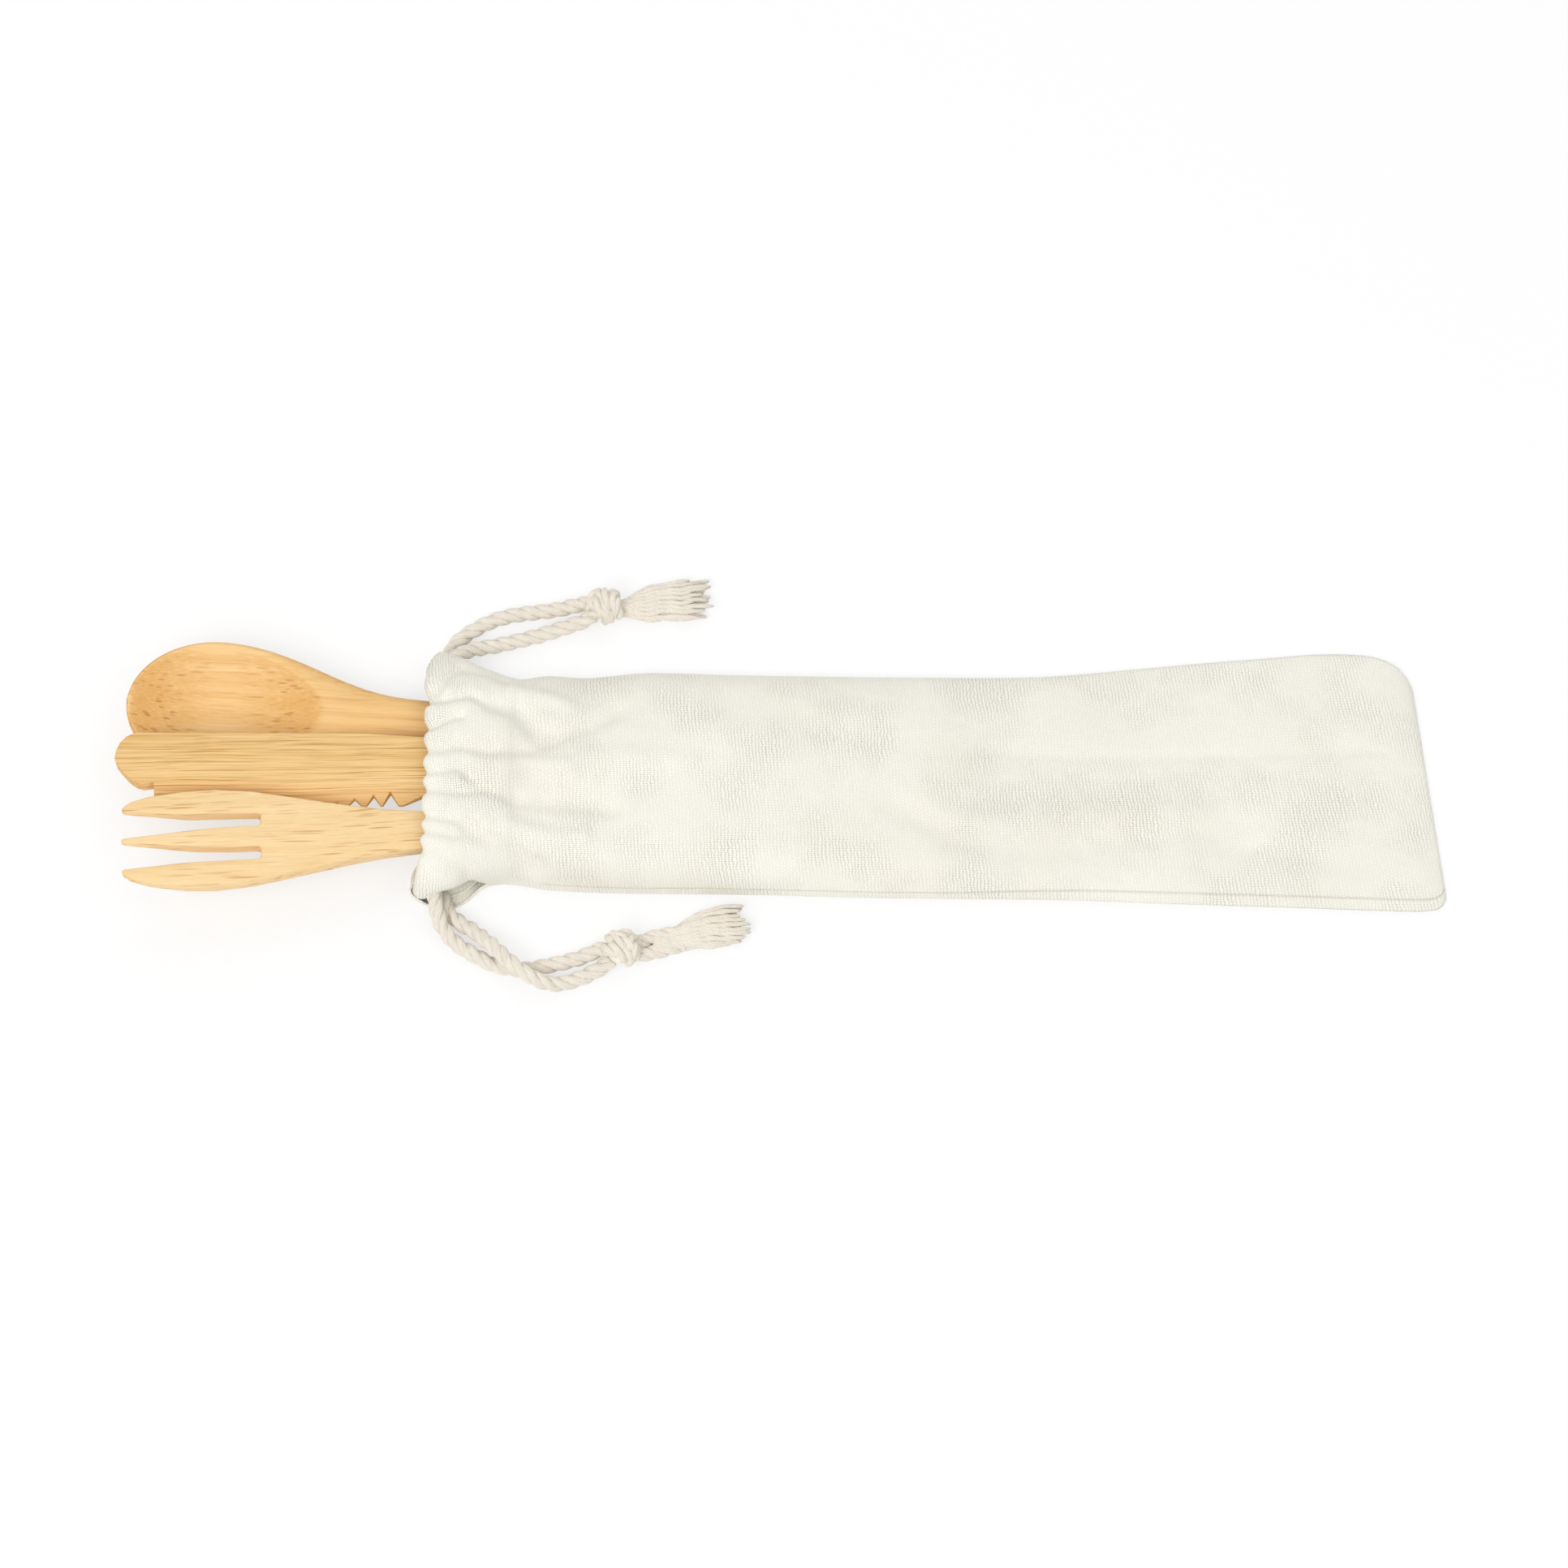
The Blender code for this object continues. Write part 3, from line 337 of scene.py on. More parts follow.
def tube_frames(route):
    """Two directions square to the route at each of its points, with no twist between them."""
    tangents = np.gradient(route, axis=0)
    tangents /= np.linalg.norm(tangents, axis=1)[:, None]
    side = np.cross(tangents[0], (0.0, 0.0, 1.0))
    if np.linalg.norm(side) < 0.1:
        side = np.cross(tangents[0], (0.0, 1.0, 0.0))
    sides = []
    for tangent in tangents:
        side = side - tangent * np.dot(side, tangent)
        side = side / np.linalg.norm(side)
        sides.append(side)
    sides = np.array(sides)
    return sides, np.cross(tangents, sides)


def plied_radius(angle, plies, depth):
    """Outer radius of a bundle of equal round plies, as a share of the bundle's own radius."""
    step = 2 * math.pi / plies
    off = (angle + step / 2) % step - step / 2
    ply = math.sin(step / 2) / (1 + math.sin(step / 2))
    centre = 1 - ply
    inside = max(ply ** 2 - (centre * math.sin(off)) ** 2, 0.0)
    outline = centre * math.cos(off) + math.sqrt(inside)
    return 1 - depth * (1 - outline)


def rope(mesh, route, radius, lay, plies=3, depth=0.85, around=36, taper=None, seed=0.0):
    """A twisted cord along a route, as one closed skin with pointed ends."""
    sides, ups = tube_frames(route)
    run = np.concatenate(([0.0], np.cumsum(np.linalg.norm(np.diff(route, axis=0), axis=1))))
    angles = 2 * math.pi * np.arange(around) / around
    rows = []
    for k, centre in enumerate(route):
        size = radius * (taper(run[k] / run[-1]) if taper else 1.0)
        if k in (0, len(route) - 1):
            size *= 0.02
        twist = 2 * math.pi * run[k] / lay
        ring = []
        for angle in angles:
            reach = size * plied_radius(angle - twist, plies, depth)
            reach *= 1 + 0.05 * ripple((run[k] * 0.6, angle * 2, seed), 1.0, seed)
            ring.append(centre + (sides[k] * math.cos(angle) + ups[k] * math.sin(angle)) * reach)
        rows.append(ring)

    def uv(row, turn):
        return (run[row], 2 * math.pi * radius * (turn / around - run[row] / lay))

    verts = loft(mesh, rows, uv, wrap=True)
    bmesh.ops.remove_doubles(mesh, verts=verts, dist=ROPE_MERGE)
    bmesh.ops.recalc_face_normals(mesh, faces=mesh.faces[:])


# Shaders

class Value:
    """A socket that can stand in Python sums, which add Math nodes."""

    def __init__(self, shader, socket):
        self.shader = shader
        self.socket = socket

    def maths(self, operation, *values):
        return self.shader.node("Math", {"operation": operation}, dict(enumerate(values)))

    def __add__(self, other):
        return self.maths("ADD", self, other)

    def __sub__(self, other):
        return self.maths("SUBTRACT", self, other)

    def __rsub__(self, other):
        return self.maths("SUBTRACT", other, self)

    def __mul__(self, other):
        return self.maths("MULTIPLY", self, other)

    def __truediv__(self, other):
        return self.maths("DIVIDE", self, other)

    def __pow__(self, other):
        return self.maths("POWER", self, other)

    def __neg__(self):
        return self.maths("MULTIPLY", self, -1.0)

    def size(self):
        return self.maths("ABSOLUTE", self)

    def wave(self):
        return self.maths("SINE", self)

    def limited(self):
        return self.shader.node("Clamp", {}, {0: self})

    __radd__ = __add__
    __rmul__ = __mul__


class Shader:
    """A material and its nodes."""

    def __init__(self, name):
        self.material = bpy.data.materials.new(name)
        self.material.use_nodes = True
        self.tree = self.material.node_tree
        self.surface = self.tree.nodes["Principled BSDF"]

    def node(self, kind, settings, sockets, output=0):
        """A node of one kind: its settings first, then values or links for its sockets."""
        made = self.tree.nodes.new("ShaderNode" + kind)
        for key, value in settings.items():
            if key == "stops":
                ramp = made.color_ramp.elements
                while len(ramp) < len(value):
                    ramp.new(0.5)
                for stop, (place, colour) in zip(ramp, value):
                    stop.position = place
                    stop.color = colour
            else:
                setattr(made, key, value)
        for key, value in sockets.items():
            self.feed(made.inputs[key], value)
        return Value(self, made.outputs[output])

    def feed(self, socket, value):
        if isinstance(value, Value):
            self.tree.links.new(value.socket, socket)
        else:
            socket.default_value = value

    def set(self, **sockets):
        for key, value in sockets.items():
            self.feed(self.surface.inputs[key.replace("_", " ")], value)

    def maths_of(self, operation, value):
        return self.node("Math", {"operation": operation}, {0: value})

    def mix(self, factor, first, second):
        return self.node("Mix", {"data_type": "RGBA"}, {0: factor, 6: first, 7: second}, 2)

    def split(self, vector):
        return [self.node("SeparateXYZ", {}, {0: vector}, k) for k in range(3)]

    def joined(self, x, y, z):
        return self.node("CombineXYZ", {}, {0: x, 1: y, 2: z})

    def noise(self, vector, scale, detail=2.0, roughness=0.5):
        sockets = {"Vector": vector, "Scale": scale, "Detail": detail, "Roughness": roughness}
        return self.node("TexNoise", {}, sockets)

    def lighter(self, colour):
        """A paler tone of a colour."""
        return tuple(part + (1.0 - part) * 0.35 for part in colour[:3]) + (1.0,)

    def ramp(self, factor, *stops):
        """A ramp of grey stops, each a place and a value."""
        return self.node("ValToRGB", {"stops": [(p, (v, v, v, 1.0)) for p, v in stops]}, {0: factor})

    def bump(self, height, distance, strength=1.0, normal=None):
        sockets = {"Height": height, "Distance": distance, "Strength": strength}
        if normal:
            sockets["Normal"] = normal
        return self.node("Bump", {}, sockets)


def bamboo(name, lie, tilt, light, dark, fibre, cell, lines, dots):
    """Bamboo whose fibre bundles run along the utensil, tilted to its face by some degrees."""
    shader = Shader(name)
    (x, y, z), turn, slope = lie
    turned = Euler((0.0, math.radians(tilt) - math.atan(slope), -math.radians(turn)), "ZYX").to_matrix()
    grain = shader.node("Mapping", {}, {
        "Vector": shader.node("TexCoord", {}, {}, 3),
        "Location": turned @ Vector((-x, -y, -z)), "Rotation": turned.to_euler(), "Scale": (1 / MM,) * 3,
    })
    along, across, deep = shader.split(grain)
    sway = (shader.noise(shader.joined(along * 0.03, across * 0.1, deep * 0.1), 1.0, 1.0) - 0.5) * 1.4
    across = across + sway
    deep = deep + sway * 0.4
    bands = shader.noise(shader.joined(along * 0.01, across * 0.35, deep * 0.35), 1.0, 3.0)
    streaks = shader.noise(shader.joined(along * 0.022, across * 2.3, deep * 2.3), 1.0, 3.0, 0.65)
    fine = shader.noise(shader.joined(along * 0.05, across * 7.0, deep * 7.0), 1.0, 2.0, 0.6)
    bundles = shader.node("TexVoronoi", {"feature": "F1"}, {
        "Vector": shader.joined(along * 0.012, across / cell, deep / cell), "Scale": 1.0,
    })
    kept = shader.ramp(shader.noise(shader.joined(along * 0.04, across * 0.5, deep * 0.5), 1.0, 2.0),
                       (0.38, 0.25), (0.6, 1.0))
    flecks = shader.ramp(bundles, (0.0, 1.0), (0.2, 0.9), (0.34, 0.0)) * kept
    paler = shader.ramp(streaks, (0.55, 0.0), (0.72, 1.0))
    darker = shader.ramp(streaks, (0.30, 1.0), (0.46, 0.0))
    endwise = turned.inverted() @ Vector((1.0, 0.0, 0.0))
    facing = shader.node("VectorMath", {"operation": "DOT_PRODUCT"}, {
        0: shader.node("TexCoord", {}, {}, 1), 1: endwise}, 1)
    endgrain_and_shade = ((facing.size() - 0.04) * 2.6).limited()
    colour = shader.mix(shader.ramp(bands, (0.3, 0.0), (0.7, 0.55)), light, dark)
    # Where the surface faces along the fibres the colour goes to the dark tone: partly end grain's own darker
    # colour, partly painted shade, as in the sloping ends of the spoon's bowl.
    colour = shader.mix(endgrain_and_shade * 0.9, colour, dark)
    colour = shader.mix(paler * 0.45, colour, shader.lighter(light))
    colour = shader.mix(darker * lines, colour, fibre)
    colour = shader.mix(shader.ramp(fine, (0.34, 0.5), (0.5, 0.0)) * lines, colour, fibre)
    colour = shader.mix(flecks * (0.3 + endgrain_and_shade * 0.7) * dots, colour, fibre)
    shader.set(
        Base_Color=colour,
        Roughness=0.42 + fine * 0.2,
        Normal=shader.bump(fine * 0.5 + streaks * 0.8 - flecks * 0.8, 0.00012, 0.5),
    )
    return shader.material


def cotton_cloth():
    """Undyed plain weave, in threads that follow the cloth's own UV map."""
    shader = Shader("cotton_cloth")
    threads = shader.node("UVMap", {"uv_map": "threads"}, {})
    length, width, _ = shader.split(threads)
    place = shader.node("TexCoord", {}, {}, 3)
    waver = shader.noise(threads, 0.10, 2.0)
    uneven = shader.noise(threads, 0.7, 2.0)
    slub = shader.noise(shader.joined(length * 0.25, width * 2.1, 0.0), 1.0, 2.0)
    pick = ((length + width * 0.07 + waver * 1.6 + uneven * 1.1) / PICK * math.pi).wave()
    end = ((width + waver * 0.9) / END * math.pi).wave()
    upper = shader.ramp(pick * end * 0.5 + 0.5, (0.42, 0.0), (0.58, 1.0))
    lengthways = end.size() ** 0.5 * (pick.size() * 0.6 + 0.4)
    crossways = pick.size() ** 0.5 * (end.size() * 0.5 + 0.5)
    rise = crossways + upper * (lengthways - crossways)
    hole = ((1.0 - pick.size()) * (1.0 - end.size())) ** 1.5
    stretched = shader.ramp(shader.noise(threads, 0.05, 3.0), (0.44, 0.08), (0.64, 1.0))
    cloud = shader.ramp(shader.noise(place, 40.0, 3.0), (0.35, 0.0), (0.65, 1.0))
    seam = ((width - NEAR_SEAM) / 0.3) ** 2.0
    seam = shader.maths_of("EXPONENT", -seam) * shader.ramp(length / 100.0, (0.58, 0.0), (0.6, 1.0))
    pale = linear(252, 251, 241)
    warm = linear(246, 243, 230)
    shade = linear(212, 205, 188)
    shade_in_gaps = linear(150, 142, 130)
    colour = shader.mix(cloud * 0.5 + slub * 0.2, pale, warm)
    # Painted shade of the weave's relief: darker where the threads dip and in the cells where the flatter
    # thread lies on top.
    colour = shader.mix((1.0 - rise) * 0.2 + (1.0 - upper) * 0.14, colour, shade)
    # Painted shade seen through the gaps between the threads, where the cloth is stretched.
    colour = shader.mix((hole * stretched * 1.6).limited(), colour, shade_in_gaps)
    # Painted shade in the groove of the near side seam, which the bump also sinks.
    colour = shader.mix(seam * 0.35, colour, shade)
    shader.set(
        Base_Color=colour,
        Roughness=0.9,
        Sheen_Weight=0.1,
        Sheen_Roughness=0.5,
        Specular_IOR_Level=0.25,
        Normal=shader.bump(rise * 0.8 + upper * 0.5 + slub * 0.4 - seam * 2.0, 0.00014, 0.8),
    )
    return shader.material


def cotton_cord():
    """Undyed cotton yarn: fine fibres along each ply of the cord's UV map."""
    shader = Shader("cotton_cord")
    threads = shader.node("UVMap", {"uv_map": "threads"}, {})
    length, around, _ = shader.split(threads)
    drift = shader.noise(shader.joined(length * 0.5, around * 0.8, 0.0), 1.0, 2.0)
    yarns = ((around + drift * 0.5) * (2 * math.pi / YARN)).wave() * 0.5 + 0.5
    fibres = shader.noise(shader.joined(length * 0.5, around * 3.4, 0.0), 1.0, 3.0, 0.65)
    hair = shader.noise(shader.joined(length * 1.2, around * 10.0, 0.0), 1.0, 2.0, 0.6)
    cloud = shader.noise(shader.node("TexCoord", {}, {}, 3), 160.0, 2.0)
    pale = linear(255, 250, 238)
    warm = linear(250, 240, 224)
    shade = linear(234, 216, 194)
    colour = shader.mix(shader.ramp(fibres, (0.35, 0.0), (0.68, 1.0)) * 0.7, pale, warm)
    # Painted shade in the grooves between the yarns.
    colour = shader.mix((1.0 - yarns) * 0.22, colour, shade)
    colour = shader.mix(shader.ramp(hair, (0.3, 0.5), (0.5, 0.0)) * 0.5, colour, shade)
    colour = shader.mix(shader.ramp(cloud, (0.45, 0.0), (0.7, 0.3)), colour, warm)
    shader.set(
        Base_Color=colour,
        Roughness=0.92,
        Sheen_Weight=0.15,
        Specular_IOR_Level=0.2,
        Normal=shader.bump(fibres + yarns * 0.8 + hair * 0.5, 0.00022, 0.8),
    )
    return shader.material


# The bamboo pieces

def refined(node, name, finish, slot_name, width, levels):
    """A copy of a utensil's solid with softened edges, which stands for it."""
    mesh = bmesh.new()
    mesh.from_mesh(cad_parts[node].data)
    mesh.transform(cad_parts[node].matrix_world)
    bmesh.ops.remove_doubles(mesh, verts=mesh.verts[:], dist=SOLID_MERGE)
    if width:
        bmesh.ops.dissolve_limit(mesh, angle_limit=math.radians(1.0), verts=mesh.verts[:],
                                 edges=mesh.edges[:])
        sharp = [edge for edge in mesh.edges
                 if len(edge.link_faces) == 2 and edge.calc_face_angle() > math.radians(30)]
        bmesh.ops.bevel(mesh, geom=sharp, offset=width * MM, segments=3, profile=0.5, affect="EDGES",
                        material=-1, clamp_overlap=True)
    else:
        bmesh.ops.join_triangles(mesh, faces=mesh.faces[:], angle_face_threshold=math.radians(60),
                                 angle_shape_threshold=math.radians(60))
    piece = add_piece(name, mesh, finish, slot_name, node)
    if levels:
        smooth = piece.modifiers.new("smooth", "SUBSURF")
        smooth.levels = levels
        smooth.render_levels = levels
    return piece


# The pouch

def top_arch(t, x):
    """Height of the cloth across the pouch: full on the near side, easier on the far side."""
    flat = eased(x, *ARCH_CHANGE)
    power = np.where(t < 0, 8.0 - 4.0 * flat, 2.6 + 1.4 * flat)
    root = np.where(t < 0, 0.5, 0.625 - 0.125 * flat)
    return np.maximum(0.0, 1 - np.abs(t) ** power) ** root


def section(x, front, count):
    """Evenly spaced points of the cloth's section at x, and the directions out of it."""
    near, far = smooth_value(NEAR_EDGE, x), smooth_value(FAR_EDGE, x)
    crown, side = smooth_value(CROWN, x), smooth_value(SIDE_HEIGHT, x)
    middle, half = (near + far) / 2, (far - near) / 2
    t = -np.cos(np.pi * np.linspace(0.0, 1.0, 401))
    if front:
        line = np.stack([middle + half * t, side + (crown - side) * top_arch(t, x)], axis=1)
    else:
        run = CORNER_RUN / half
        s = np.maximum(0.0, (np.abs(t) - 1 + run) / run)
        line = np.stack([middle + half * t, side * (1 - np.sqrt(np.maximum(0.0, 1 - s * s)))], axis=1)
    line = evenly(line, count)
    tangent = np.gradient(line, axis=0)
    tangent /= np.linalg.norm(tangent, axis=1)[:, None]
    out = np.stack([-tangent[:, 1], tangent[:, 0]], axis=1)
    return line, out if front else -out


def crease_depth(x, y):
    """Depth of the listed creases over arrays of places."""
    depth = np.zeros_like(x)
    for half_width, deepest, points in CREASES:
        away = np.full_like(x, np.inf)
        for (x0, y0), (x1, y1) in zip(points, points[1:]):
            dx, dy = x1 - x0, y1 - y0
            t = np.clip(((x - x0) * dx + (y - y0) * dy) / (dx * dx + dy * dy), 0.0, 1.0)
            away = np.minimum(away, np.hypot(x - x0 - t * dx, y - y0 - t * dy))
        depth += CREASE_SCALE * deepest * np.exp(-(away / half_width) ** 2)
    return DEEPEST_CREASE * np.tanh(depth / DEEPEST_CREASE)


def cloth_stations():
    """Places along the cloth, from the inner edge of the hem round the lip to the closed end."""
    turn = HEM_DEPTH / 2
    places = [(x, HEM_DEPTH) for x in np.linspace(STITCH_X - 0.5, MOUTH_X + turn, 14)]
    for angle in np.linspace(0.0, math.pi, 9)[1:-1]:
        places.append((MOUTH_X + turn * (1 - math.sin(angle)), turn * (1 + math.cos(angle))))
    outer = [
        *np.linspace(MOUTH_X + turn, STITCH_X - 1.4, 32), *np.linspace(STITCH_X - 0.9, STITCH_X + 1.4, 6),
        *np.linspace(STITCH_X + 2.1, -30.0, 46), *np.linspace(-28.6, 150.0, 104),
        *np.linspace(151.4, CLOSED_END_X - END_ROUNDING, 8),
        *(CLOSED_END_X - END_ROUNDING * (1 - s) for s in (0.4, 0.7, 0.9, 1.0)),
    ]
    return places + [(x, 0.0) for x in outer]


def cloth_sheet(front, columns):
    """Rows of points of the front or the back cloth, with its gathers, creases and seams."""
    stations = np.array(cloth_stations())
    sections = [section(x, front, columns) for x, _ in stations]
    y = np.array([line[:, 0] for line, _ in sections])
    z = np.array([line[:, 1] for line, _ in sections])
    out = np.array([normal for _, normal in sections])
    share = np.broadcast_to(np.linspace(0.0, 1.0, columns + 1), y.shape)
    x, depth = (np.broadcast_to(column[:, None], y.shape) for column in stations.T)
    crown, side = smooth_value(CROWN, x), smooth_value(SIDE_HEIGHT, x)
    near, far = smooth_value(NEAR_EDGE, x), smooth_value(FAR_EDGE, x)
    edge = np.clip(9 * np.minimum(share, 1 - share), 0.0, 1.0)
    outside = 1 - depth / HEM_DEPTH
    px = x + END_SKEW * eased(x, END_SKEW_START, CLOSED_END_X) * y
    at_lip = 1 - eased(x, MOUTH_X, MOUTH_X + LIP_RUN)
    if front:
        creases = crease_depth(x, y)
        broad, narrow = WAVE_SIZES
        waves = [[ripple((a, b * 1.3, 0.0), broad, 1.0) + 0.35 * ripple((a, b * 1.5, 0.0), narrow, 2.0)
                  for a, b in zip(*row)] for row in zip(x, y)]
        calm = 0.35 + 0.65 * eased(x, STITCH_X, STITCH_X + 20.0)
        lift = edge * (GATHER_SWELL * smooth_value(GATHER_FADE, x) - creases * (0.45 + 0.55 * outside)
                       + WAVE_HEIGHT * calm * np.array(waves) * outside) - depth
        height = np.clip((z - side) / (crown - side), 0.0, 1.0)
        px = px + LIP_SETBACK * height * (1 - eased(x, MOUTH_X, MOUTH_X + SETBACK_RUN))
        px = px + LIP_NOTCH * (creases - 0.5) * at_lip * edge
        px = px + FAR_LIP_SETBACK * eased(y, *FAR_LIP_SIDE) * at_lip
    else:
        lift = -depth
        drawn = 1 - eased(x, MOUTH_X, MOUTH_X + BACK_SETBACK_RUN)
        px = px + drawn * (BACK_SETBACK - BACK_LIP_REACH * eased(-y, *BACK_LIP_SIDE))
    closing = np.clip((x - CLOSED_END_X + END_ROUNDING) / END_ROUNDING, 0.0, 1.0)
    roundness = np.sqrt(1 - closing ** 2)
    py = y + out[:, :, 0] * lift
    pz = z + out[:, :, 1] * lift
    py = near + (far - near) * share + (py - near - (far - near) * share) * np.maximum(roundness, 0.0)
    pz = side / 2 + (pz - side / 2) * roundness
    open_side = eased(x, SLIT_START_X - 3.0, SLIT_START_X + 5.0)
    open_side = open_side * (1 - eased(x, SLIT_END_X - 7.0, SLIT_END_X))
    for amount, reach, inwards in ((NEAR_SLIT, share, 1), (FAR_SLIT, 1 - share, -1)):
        opened = amount * open_side * np.exp(-(reach * CLOTH_WIDTH / 4.0) ** 2)
        pz = pz + opened * (FRONT_LIFT if front else BACK_LIFT)
        py = py + opened * inwards * (FRONT_DRAW if front else BACK_DRAW)
    if front:
        pz = np.maximum(pz, CLOTH + 0.1 * edge)
        pz = np.where((x > SLIT_END_X) & (edge == 0.0), z * roundness + side / 2 * (1 - roundness), pz)
    else:
        pz = np.maximum(pz, 0.02)
    return stations, np.stack([px, py, pz], axis=2)


def make_pouch(finish):
    """The pouch's cloth: a front and a back sheet, each turned in at the mouth as a hem."""
    mesh = bmesh.new()
    for front, columns in ((True, FRONT_COLUMNS), (False, BACK_COLUMNS)):
        stations, rows = cloth_sheet(front, columns)
        run = np.concatenate(([0.0], np.cumsum(np.linalg.norm(np.diff(stations, axis=0), axis=1))))

        def uv(row, turn):
            return (run[row], turn / columns * CLOTH_WIDTH)

        loft(mesh, rows if front else rows[:, ::-1], uv)
    bmesh.ops.remove_doubles(mesh, verts=mesh.verts[:], dist=CLOTH_MERGE)
    piece = add_piece("pouch_cloth", mesh, finish, "cotton_cloth", "pouch")
    wall = piece.modifiers.new("cloth", "SOLIDIFY")
    wall.thickness = CLOTH * MM
    wall.offset = -1.0


# The drawcords

def make_knot(name, place, heading, wraps, finish, node):
    """An overhand knot pulled tight: turns of the cord laid over one another round a core."""
    mesh = bmesh.new()
    threads = thread_map(mesh)
    core = bmesh.ops.create_uvsphere(mesh, u_segments=32, v_segments=20, radius=KNOT_CORE * MM)
    for vert in core["verts"]:
        for loop in vert.link_loops:
            loop[threads].uv = (vert.co.x / MM, vert.co.y / MM)
    turn = Matrix.Rotation(math.radians(heading), 3, "Z")
    for k, (normal, offset, ring, thick, start, end, lay) in enumerate(wraps):
        normal = (turn @ Vector(normal)).normalized()
        side = normal.cross(Vector((0.0, 0.0, 1.0))).normalized()
        up = side.cross(normal)
        route = []
        for angle in np.radians(np.linspace(start, end, 60)):
            spot = normal * offset + (side * math.sin(angle) + up * math.cos(angle)) * ring
            route.append(np.array(spot))
        rope(mesh, np.array(route), thick, lay, around=30, seed=k + heading,
             taper=lambda t: min(1.0, 0.45 + 6 * t, 0.45 + 6 * (1 - t)))
    bmesh.ops.translate(mesh, verts=mesh.verts[:], vec=Vector(place) * MM)
    return add_piece(name, mesh, finish, "cotton_cord", node)


def make_tassel(name, stations, ends, finish, node, seed):
    """A frayed cord end: wavy yarns in layers that fan out and end unevenly, with any twisted ends."""
    mesh = bmesh.new()
    for layer, (yarns, radius, low) in enumerate(TASSEL_LAYERS):
        for k in range(yarns):
            spread = (k + 0.5) / yarns * 2 - 1
            spread += 0.6 / yarns * ripple((k * 5.0, layer * 9.0, 0.0), 1.0, seed)
            swing = 0.40 + 0.3 * ripple((k * 3.0, layer * 4.0, 5.0), 1.0, seed + 2)
            route = []
            for x, y, width, height in stations:
                wave = ripple((x, k * 1.0, layer * 6.0), 4.6, seed)
                wave += 0.3 * ripple((x, k * 8.0, 2.0), 3.0, seed)
                lift = 0.5 * ripple((x, k * 5.0, 9.0), 4.0, seed + 1)
                tall = (height - 2 * radius) * low * math.sqrt(max(0.0, 1 - 0.8 * spread * spread))
                aside = spread * (width / 2 - radius) + 2.2 * swing * wave * min(1.0, width / 9.0)
                route.append((x, y + aside, 0.1 + radius + max(0.0, tall + lift)))
            route = smooth_route(route, YARN_STEP)
            kept = 0.90 + 0.2 * ripple((k * 3.1, layer * 7.0, 1.0), 1.0, seed + 3)
            route = route[:int(len(route) * min(1.0, kept))]
            rope(mesh, route, radius, 9.0, plies=2, depth=0.22, around=12, seed=seed + k,
                 taper=lambda t: 1.0 - 0.6 * t ** 8)
    for end in ends:
        rope(mesh, smooth_route(end, CORD_STEP), END_RADIUS, CORD_LAY, depth=LAY_DEPTH)
    return add_piece(name, mesh, finish, "cotton_cord", node)


def make_strand(name, route, knot_place, finish, node):
    """A free strand of a drawcord, tucked into the casing at its start and the knot at its end."""
    points = [np.array(p) for p in route]
    inward, onward = points[0] - points[1], np.array(knot_place) - points[-1]
    points.insert(0, points[0] + inward / np.linalg.norm(inward) * STRAND_TUCK)
    points.append(points[-1] + onward / np.linalg.norm(onward) * KNOT_TUCK)
    path = smooth_route(points, CORD_STEP)
    mesh = bmesh.new()
    rope(mesh, path, CORD_DIAMETER / 2, CORD_LAY, depth=LAY_DEPTH)
    return add_piece(name, mesh, finish, "cotton_cord", node), path


def make_drawcord(side, front_route, back_route, knot_place, heading, wraps, stations, ends, finish, seed):
    """Two strands, the knot that they share and its tassel."""
    knot = make_knot(side + "_knot_wraps", knot_place, heading, wraps, finish, side + "_knot")
    tassel = make_tassel(side + "_tassel_yarns", stations, ends, finish, side + "_tassel", seed)
    for which, route, pieces in (("front", front_route, [knot, tassel]), ("back", back_route, [])):
        node = f"{side}_strand_{which}"
        piece, path = make_strand(node + "_rope", route, knot_place, finish, node)


def make_casing_cord(node, x, finish):
    """The run of a drawcord inside the casing, through its front and its back.

    The front run keeps behind the lip, which is drawn back there, and sinks with the creases.
    """
    top, out = section(x, True, CASING_POINTS)
    bottom, under = section(x, False, CASING_POINTS)
    drawn = x + CASING_SETBACK * (1 - eased(x, MOUTH_X, MOUTH_X + SETBACK_RUN))
    insets = CASING_CORD_INSET + CREASE_FOLLOWING * crease_depth(np.full(len(top), x), top[:, 0])
    front = [(drawn, *(point - normal * inset)) for point, normal, inset in zip(top, out, insets)][3:-3]
    back = [(x, *(point - normal * CASING_CORD_INSET)) for point, normal in zip(bottom[4:-4], under[4:-4])]
    route = smooth_route(np.array(front + back[::-1])[::3], 0.6)
    mesh = bmesh.new()
    rope(mesh, route, PRESSED_CORD_DIAMETER / 2, CORD_LAY)
    return add_piece(node + "_rope", mesh, finish, "cotton_cord", node)


# Floor, light and camera

def make_floor():
    """A white floor that keeps the set's soft shadow."""
    mesh = bmesh.new()
    bmesh.ops.create_grid(mesh, x_segments=1, y_segments=1, size=FLOOR_SIZE)
    data = bpy.data.meshes.new("floor")
    mesh.to_mesh(data)
    mesh.free()
    floor = bpy.data.objects.new("floor", data)
    bpy.context.scene.collection.objects.link(floor)
    shader = Shader("white_floor")
    shader.set(Base_Color=(0.96, 0.96, 0.96, 1.0), Roughness=0.9, Specular_IOR_Level=0.0)
    seen = shader.node("LightPath", {}, {}, 0)
    white = shader.node("Emission", {}, {"Color": (1.0, 1.0, 1.0, 1.0), "Strength": 1.0})
    lit = Value(shader, shader.surface.outputs[0])
    shown = shader.node("MixShader", {}, {0: seen * FLOOR_WHITENING, 1: lit, 2: white})
    shader.feed(shader.tree.nodes["Material Output"].inputs["Surface"], shown)
    data.materials.append(shader.material)


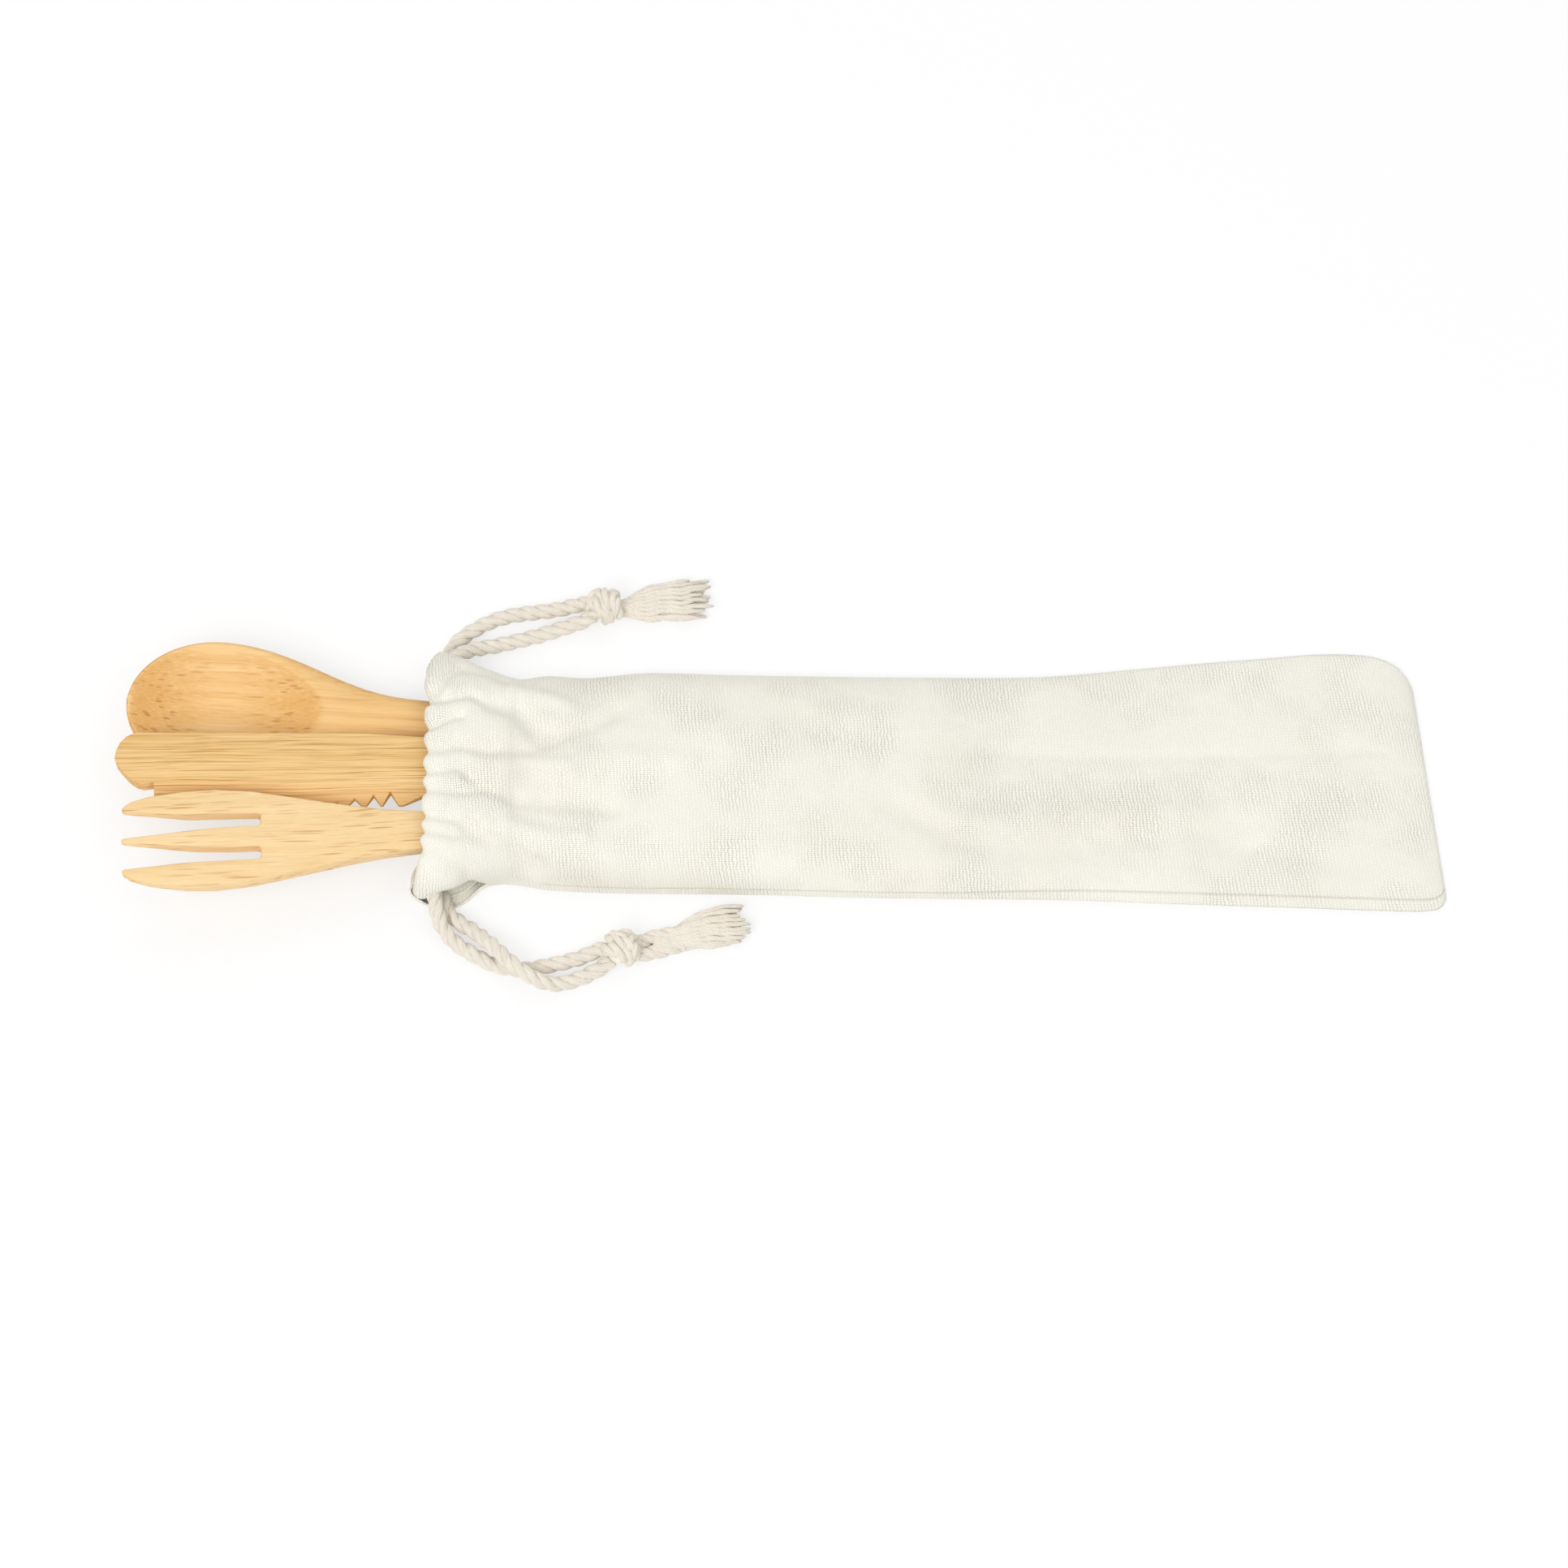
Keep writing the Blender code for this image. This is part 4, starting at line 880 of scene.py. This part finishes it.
def add_lamp(name, azimuth, elevation, distance, size, power):
    """A soft square lamp that looks at the set."""
    lamp = bpy.data.lights.new(name, "AREA")
    lamp.size = size
    lamp.energy = power
    holder = bpy.data.objects.new(name, lamp)
    bpy.context.scene.collection.objects.link(holder)
    a, e = math.radians(azimuth), math.radians(elevation)
    place = Vector((math.sin(a) * math.cos(e), -math.cos(a) * math.cos(e), math.sin(e))) * distance
    holder.location = place
    holder.rotation_euler = (-place).to_track_quat("-Z", "Y").to_euler()


def light_scene():
    world = bpy.data.worlds.new("studio")
    world.use_nodes = True
    background = world.node_tree.nodes["Background"]
    background.inputs["Color"].default_value = (1.0, 1.0, 1.0, 1.0)
    background.inputs["Strength"].default_value = SKY_STRENGTH
    bpy.context.scene.world = world
    add_lamp("key", -35.0, 52.0, 1.6, 0.9, KEY_POWER)
    add_lamp("fill", 60.0, 60.0, 1.8, 1.4, FILL_POWER)
    add_lamp("back", 170.0, 48.0, 1.8, 1.4, BACK_POWER)


def add_camera():
    """The photograph's view, steeply from above the near side."""
    lens = bpy.data.cameras.new("camera")
    lens.lens = CAMERA_LENS
    camera = bpy.data.objects.new("camera", lens)
    bpy.context.scene.collection.objects.link(camera)
    tilt = math.radians(CAMERA_ELEVATION)
    away = Vector((0.0, -math.cos(tilt), math.sin(tilt))) * CAMERA_DISTANCE
    camera.location = (Vector(CAMERA_TARGET) + away) * MM
    camera.rotation_euler = (-away).to_track_quat("-Z", "Y").to_euler()
    bpy.context.scene.camera = camera


def main():
    bpy.context.scene.view_settings.view_transform = "Standard"
    add_camera()
    cord = cotton_cord()
    make_drawcord("upper", UPPER_FRONT_ROUTE, UPPER_BACK_ROUTE, UPPER_KNOT_PLACE, 0.0, UPPER_WRAPS,
                  UPPER_TASSEL, (), cord, 3.0)
    make_drawcord("lower", LOWER_FRONT_ROUTE, LOWER_BACK_ROUTE, LOWER_KNOT_PLACE, 20.0, LOWER_WRAPS,
                  LOWER_TASSEL, LOWER_ENDS, cord, 5.0)
    make_casing_cord("upper_cord_in_casing", UPPER_CORD_X, cord)
    make_casing_cord("lower_cord_in_casing", LOWER_CORD_X, cord)

    spoon = bamboo("spoon_bamboo", SPOON_LIE, 0.6, linear(248, 207, 142), linear(224, 169, 88),
                   linear(190, 126, 56), 1.1, 0.25, 1.0)
    knife = bamboo("knife_bamboo", KNIFE_LIE, 0.25, linear(243, 206, 142), linear(228, 180, 104),
                   linear(176, 116, 50), 0.8, 0.95, 0.6)
    fork = bamboo("fork_bamboo", FORK_LIE, 2.6, linear(248, 217, 164), linear(236, 198, 136),
                  linear(200, 142, 76), 0.7, 0.2, 2.4)
    refined("spoon", "spoon_shape", spoon, "spoon_bamboo", 0.0, 1)
    refined("knife", "knife_shape", knife, "knife_bamboo", 0.35, 0)
    refined("fork", "fork_shape", fork, "fork_bamboo", 0.6, 0)
    make_pouch(cotton_cloth())

    make_floor()
    light_scene()


main()
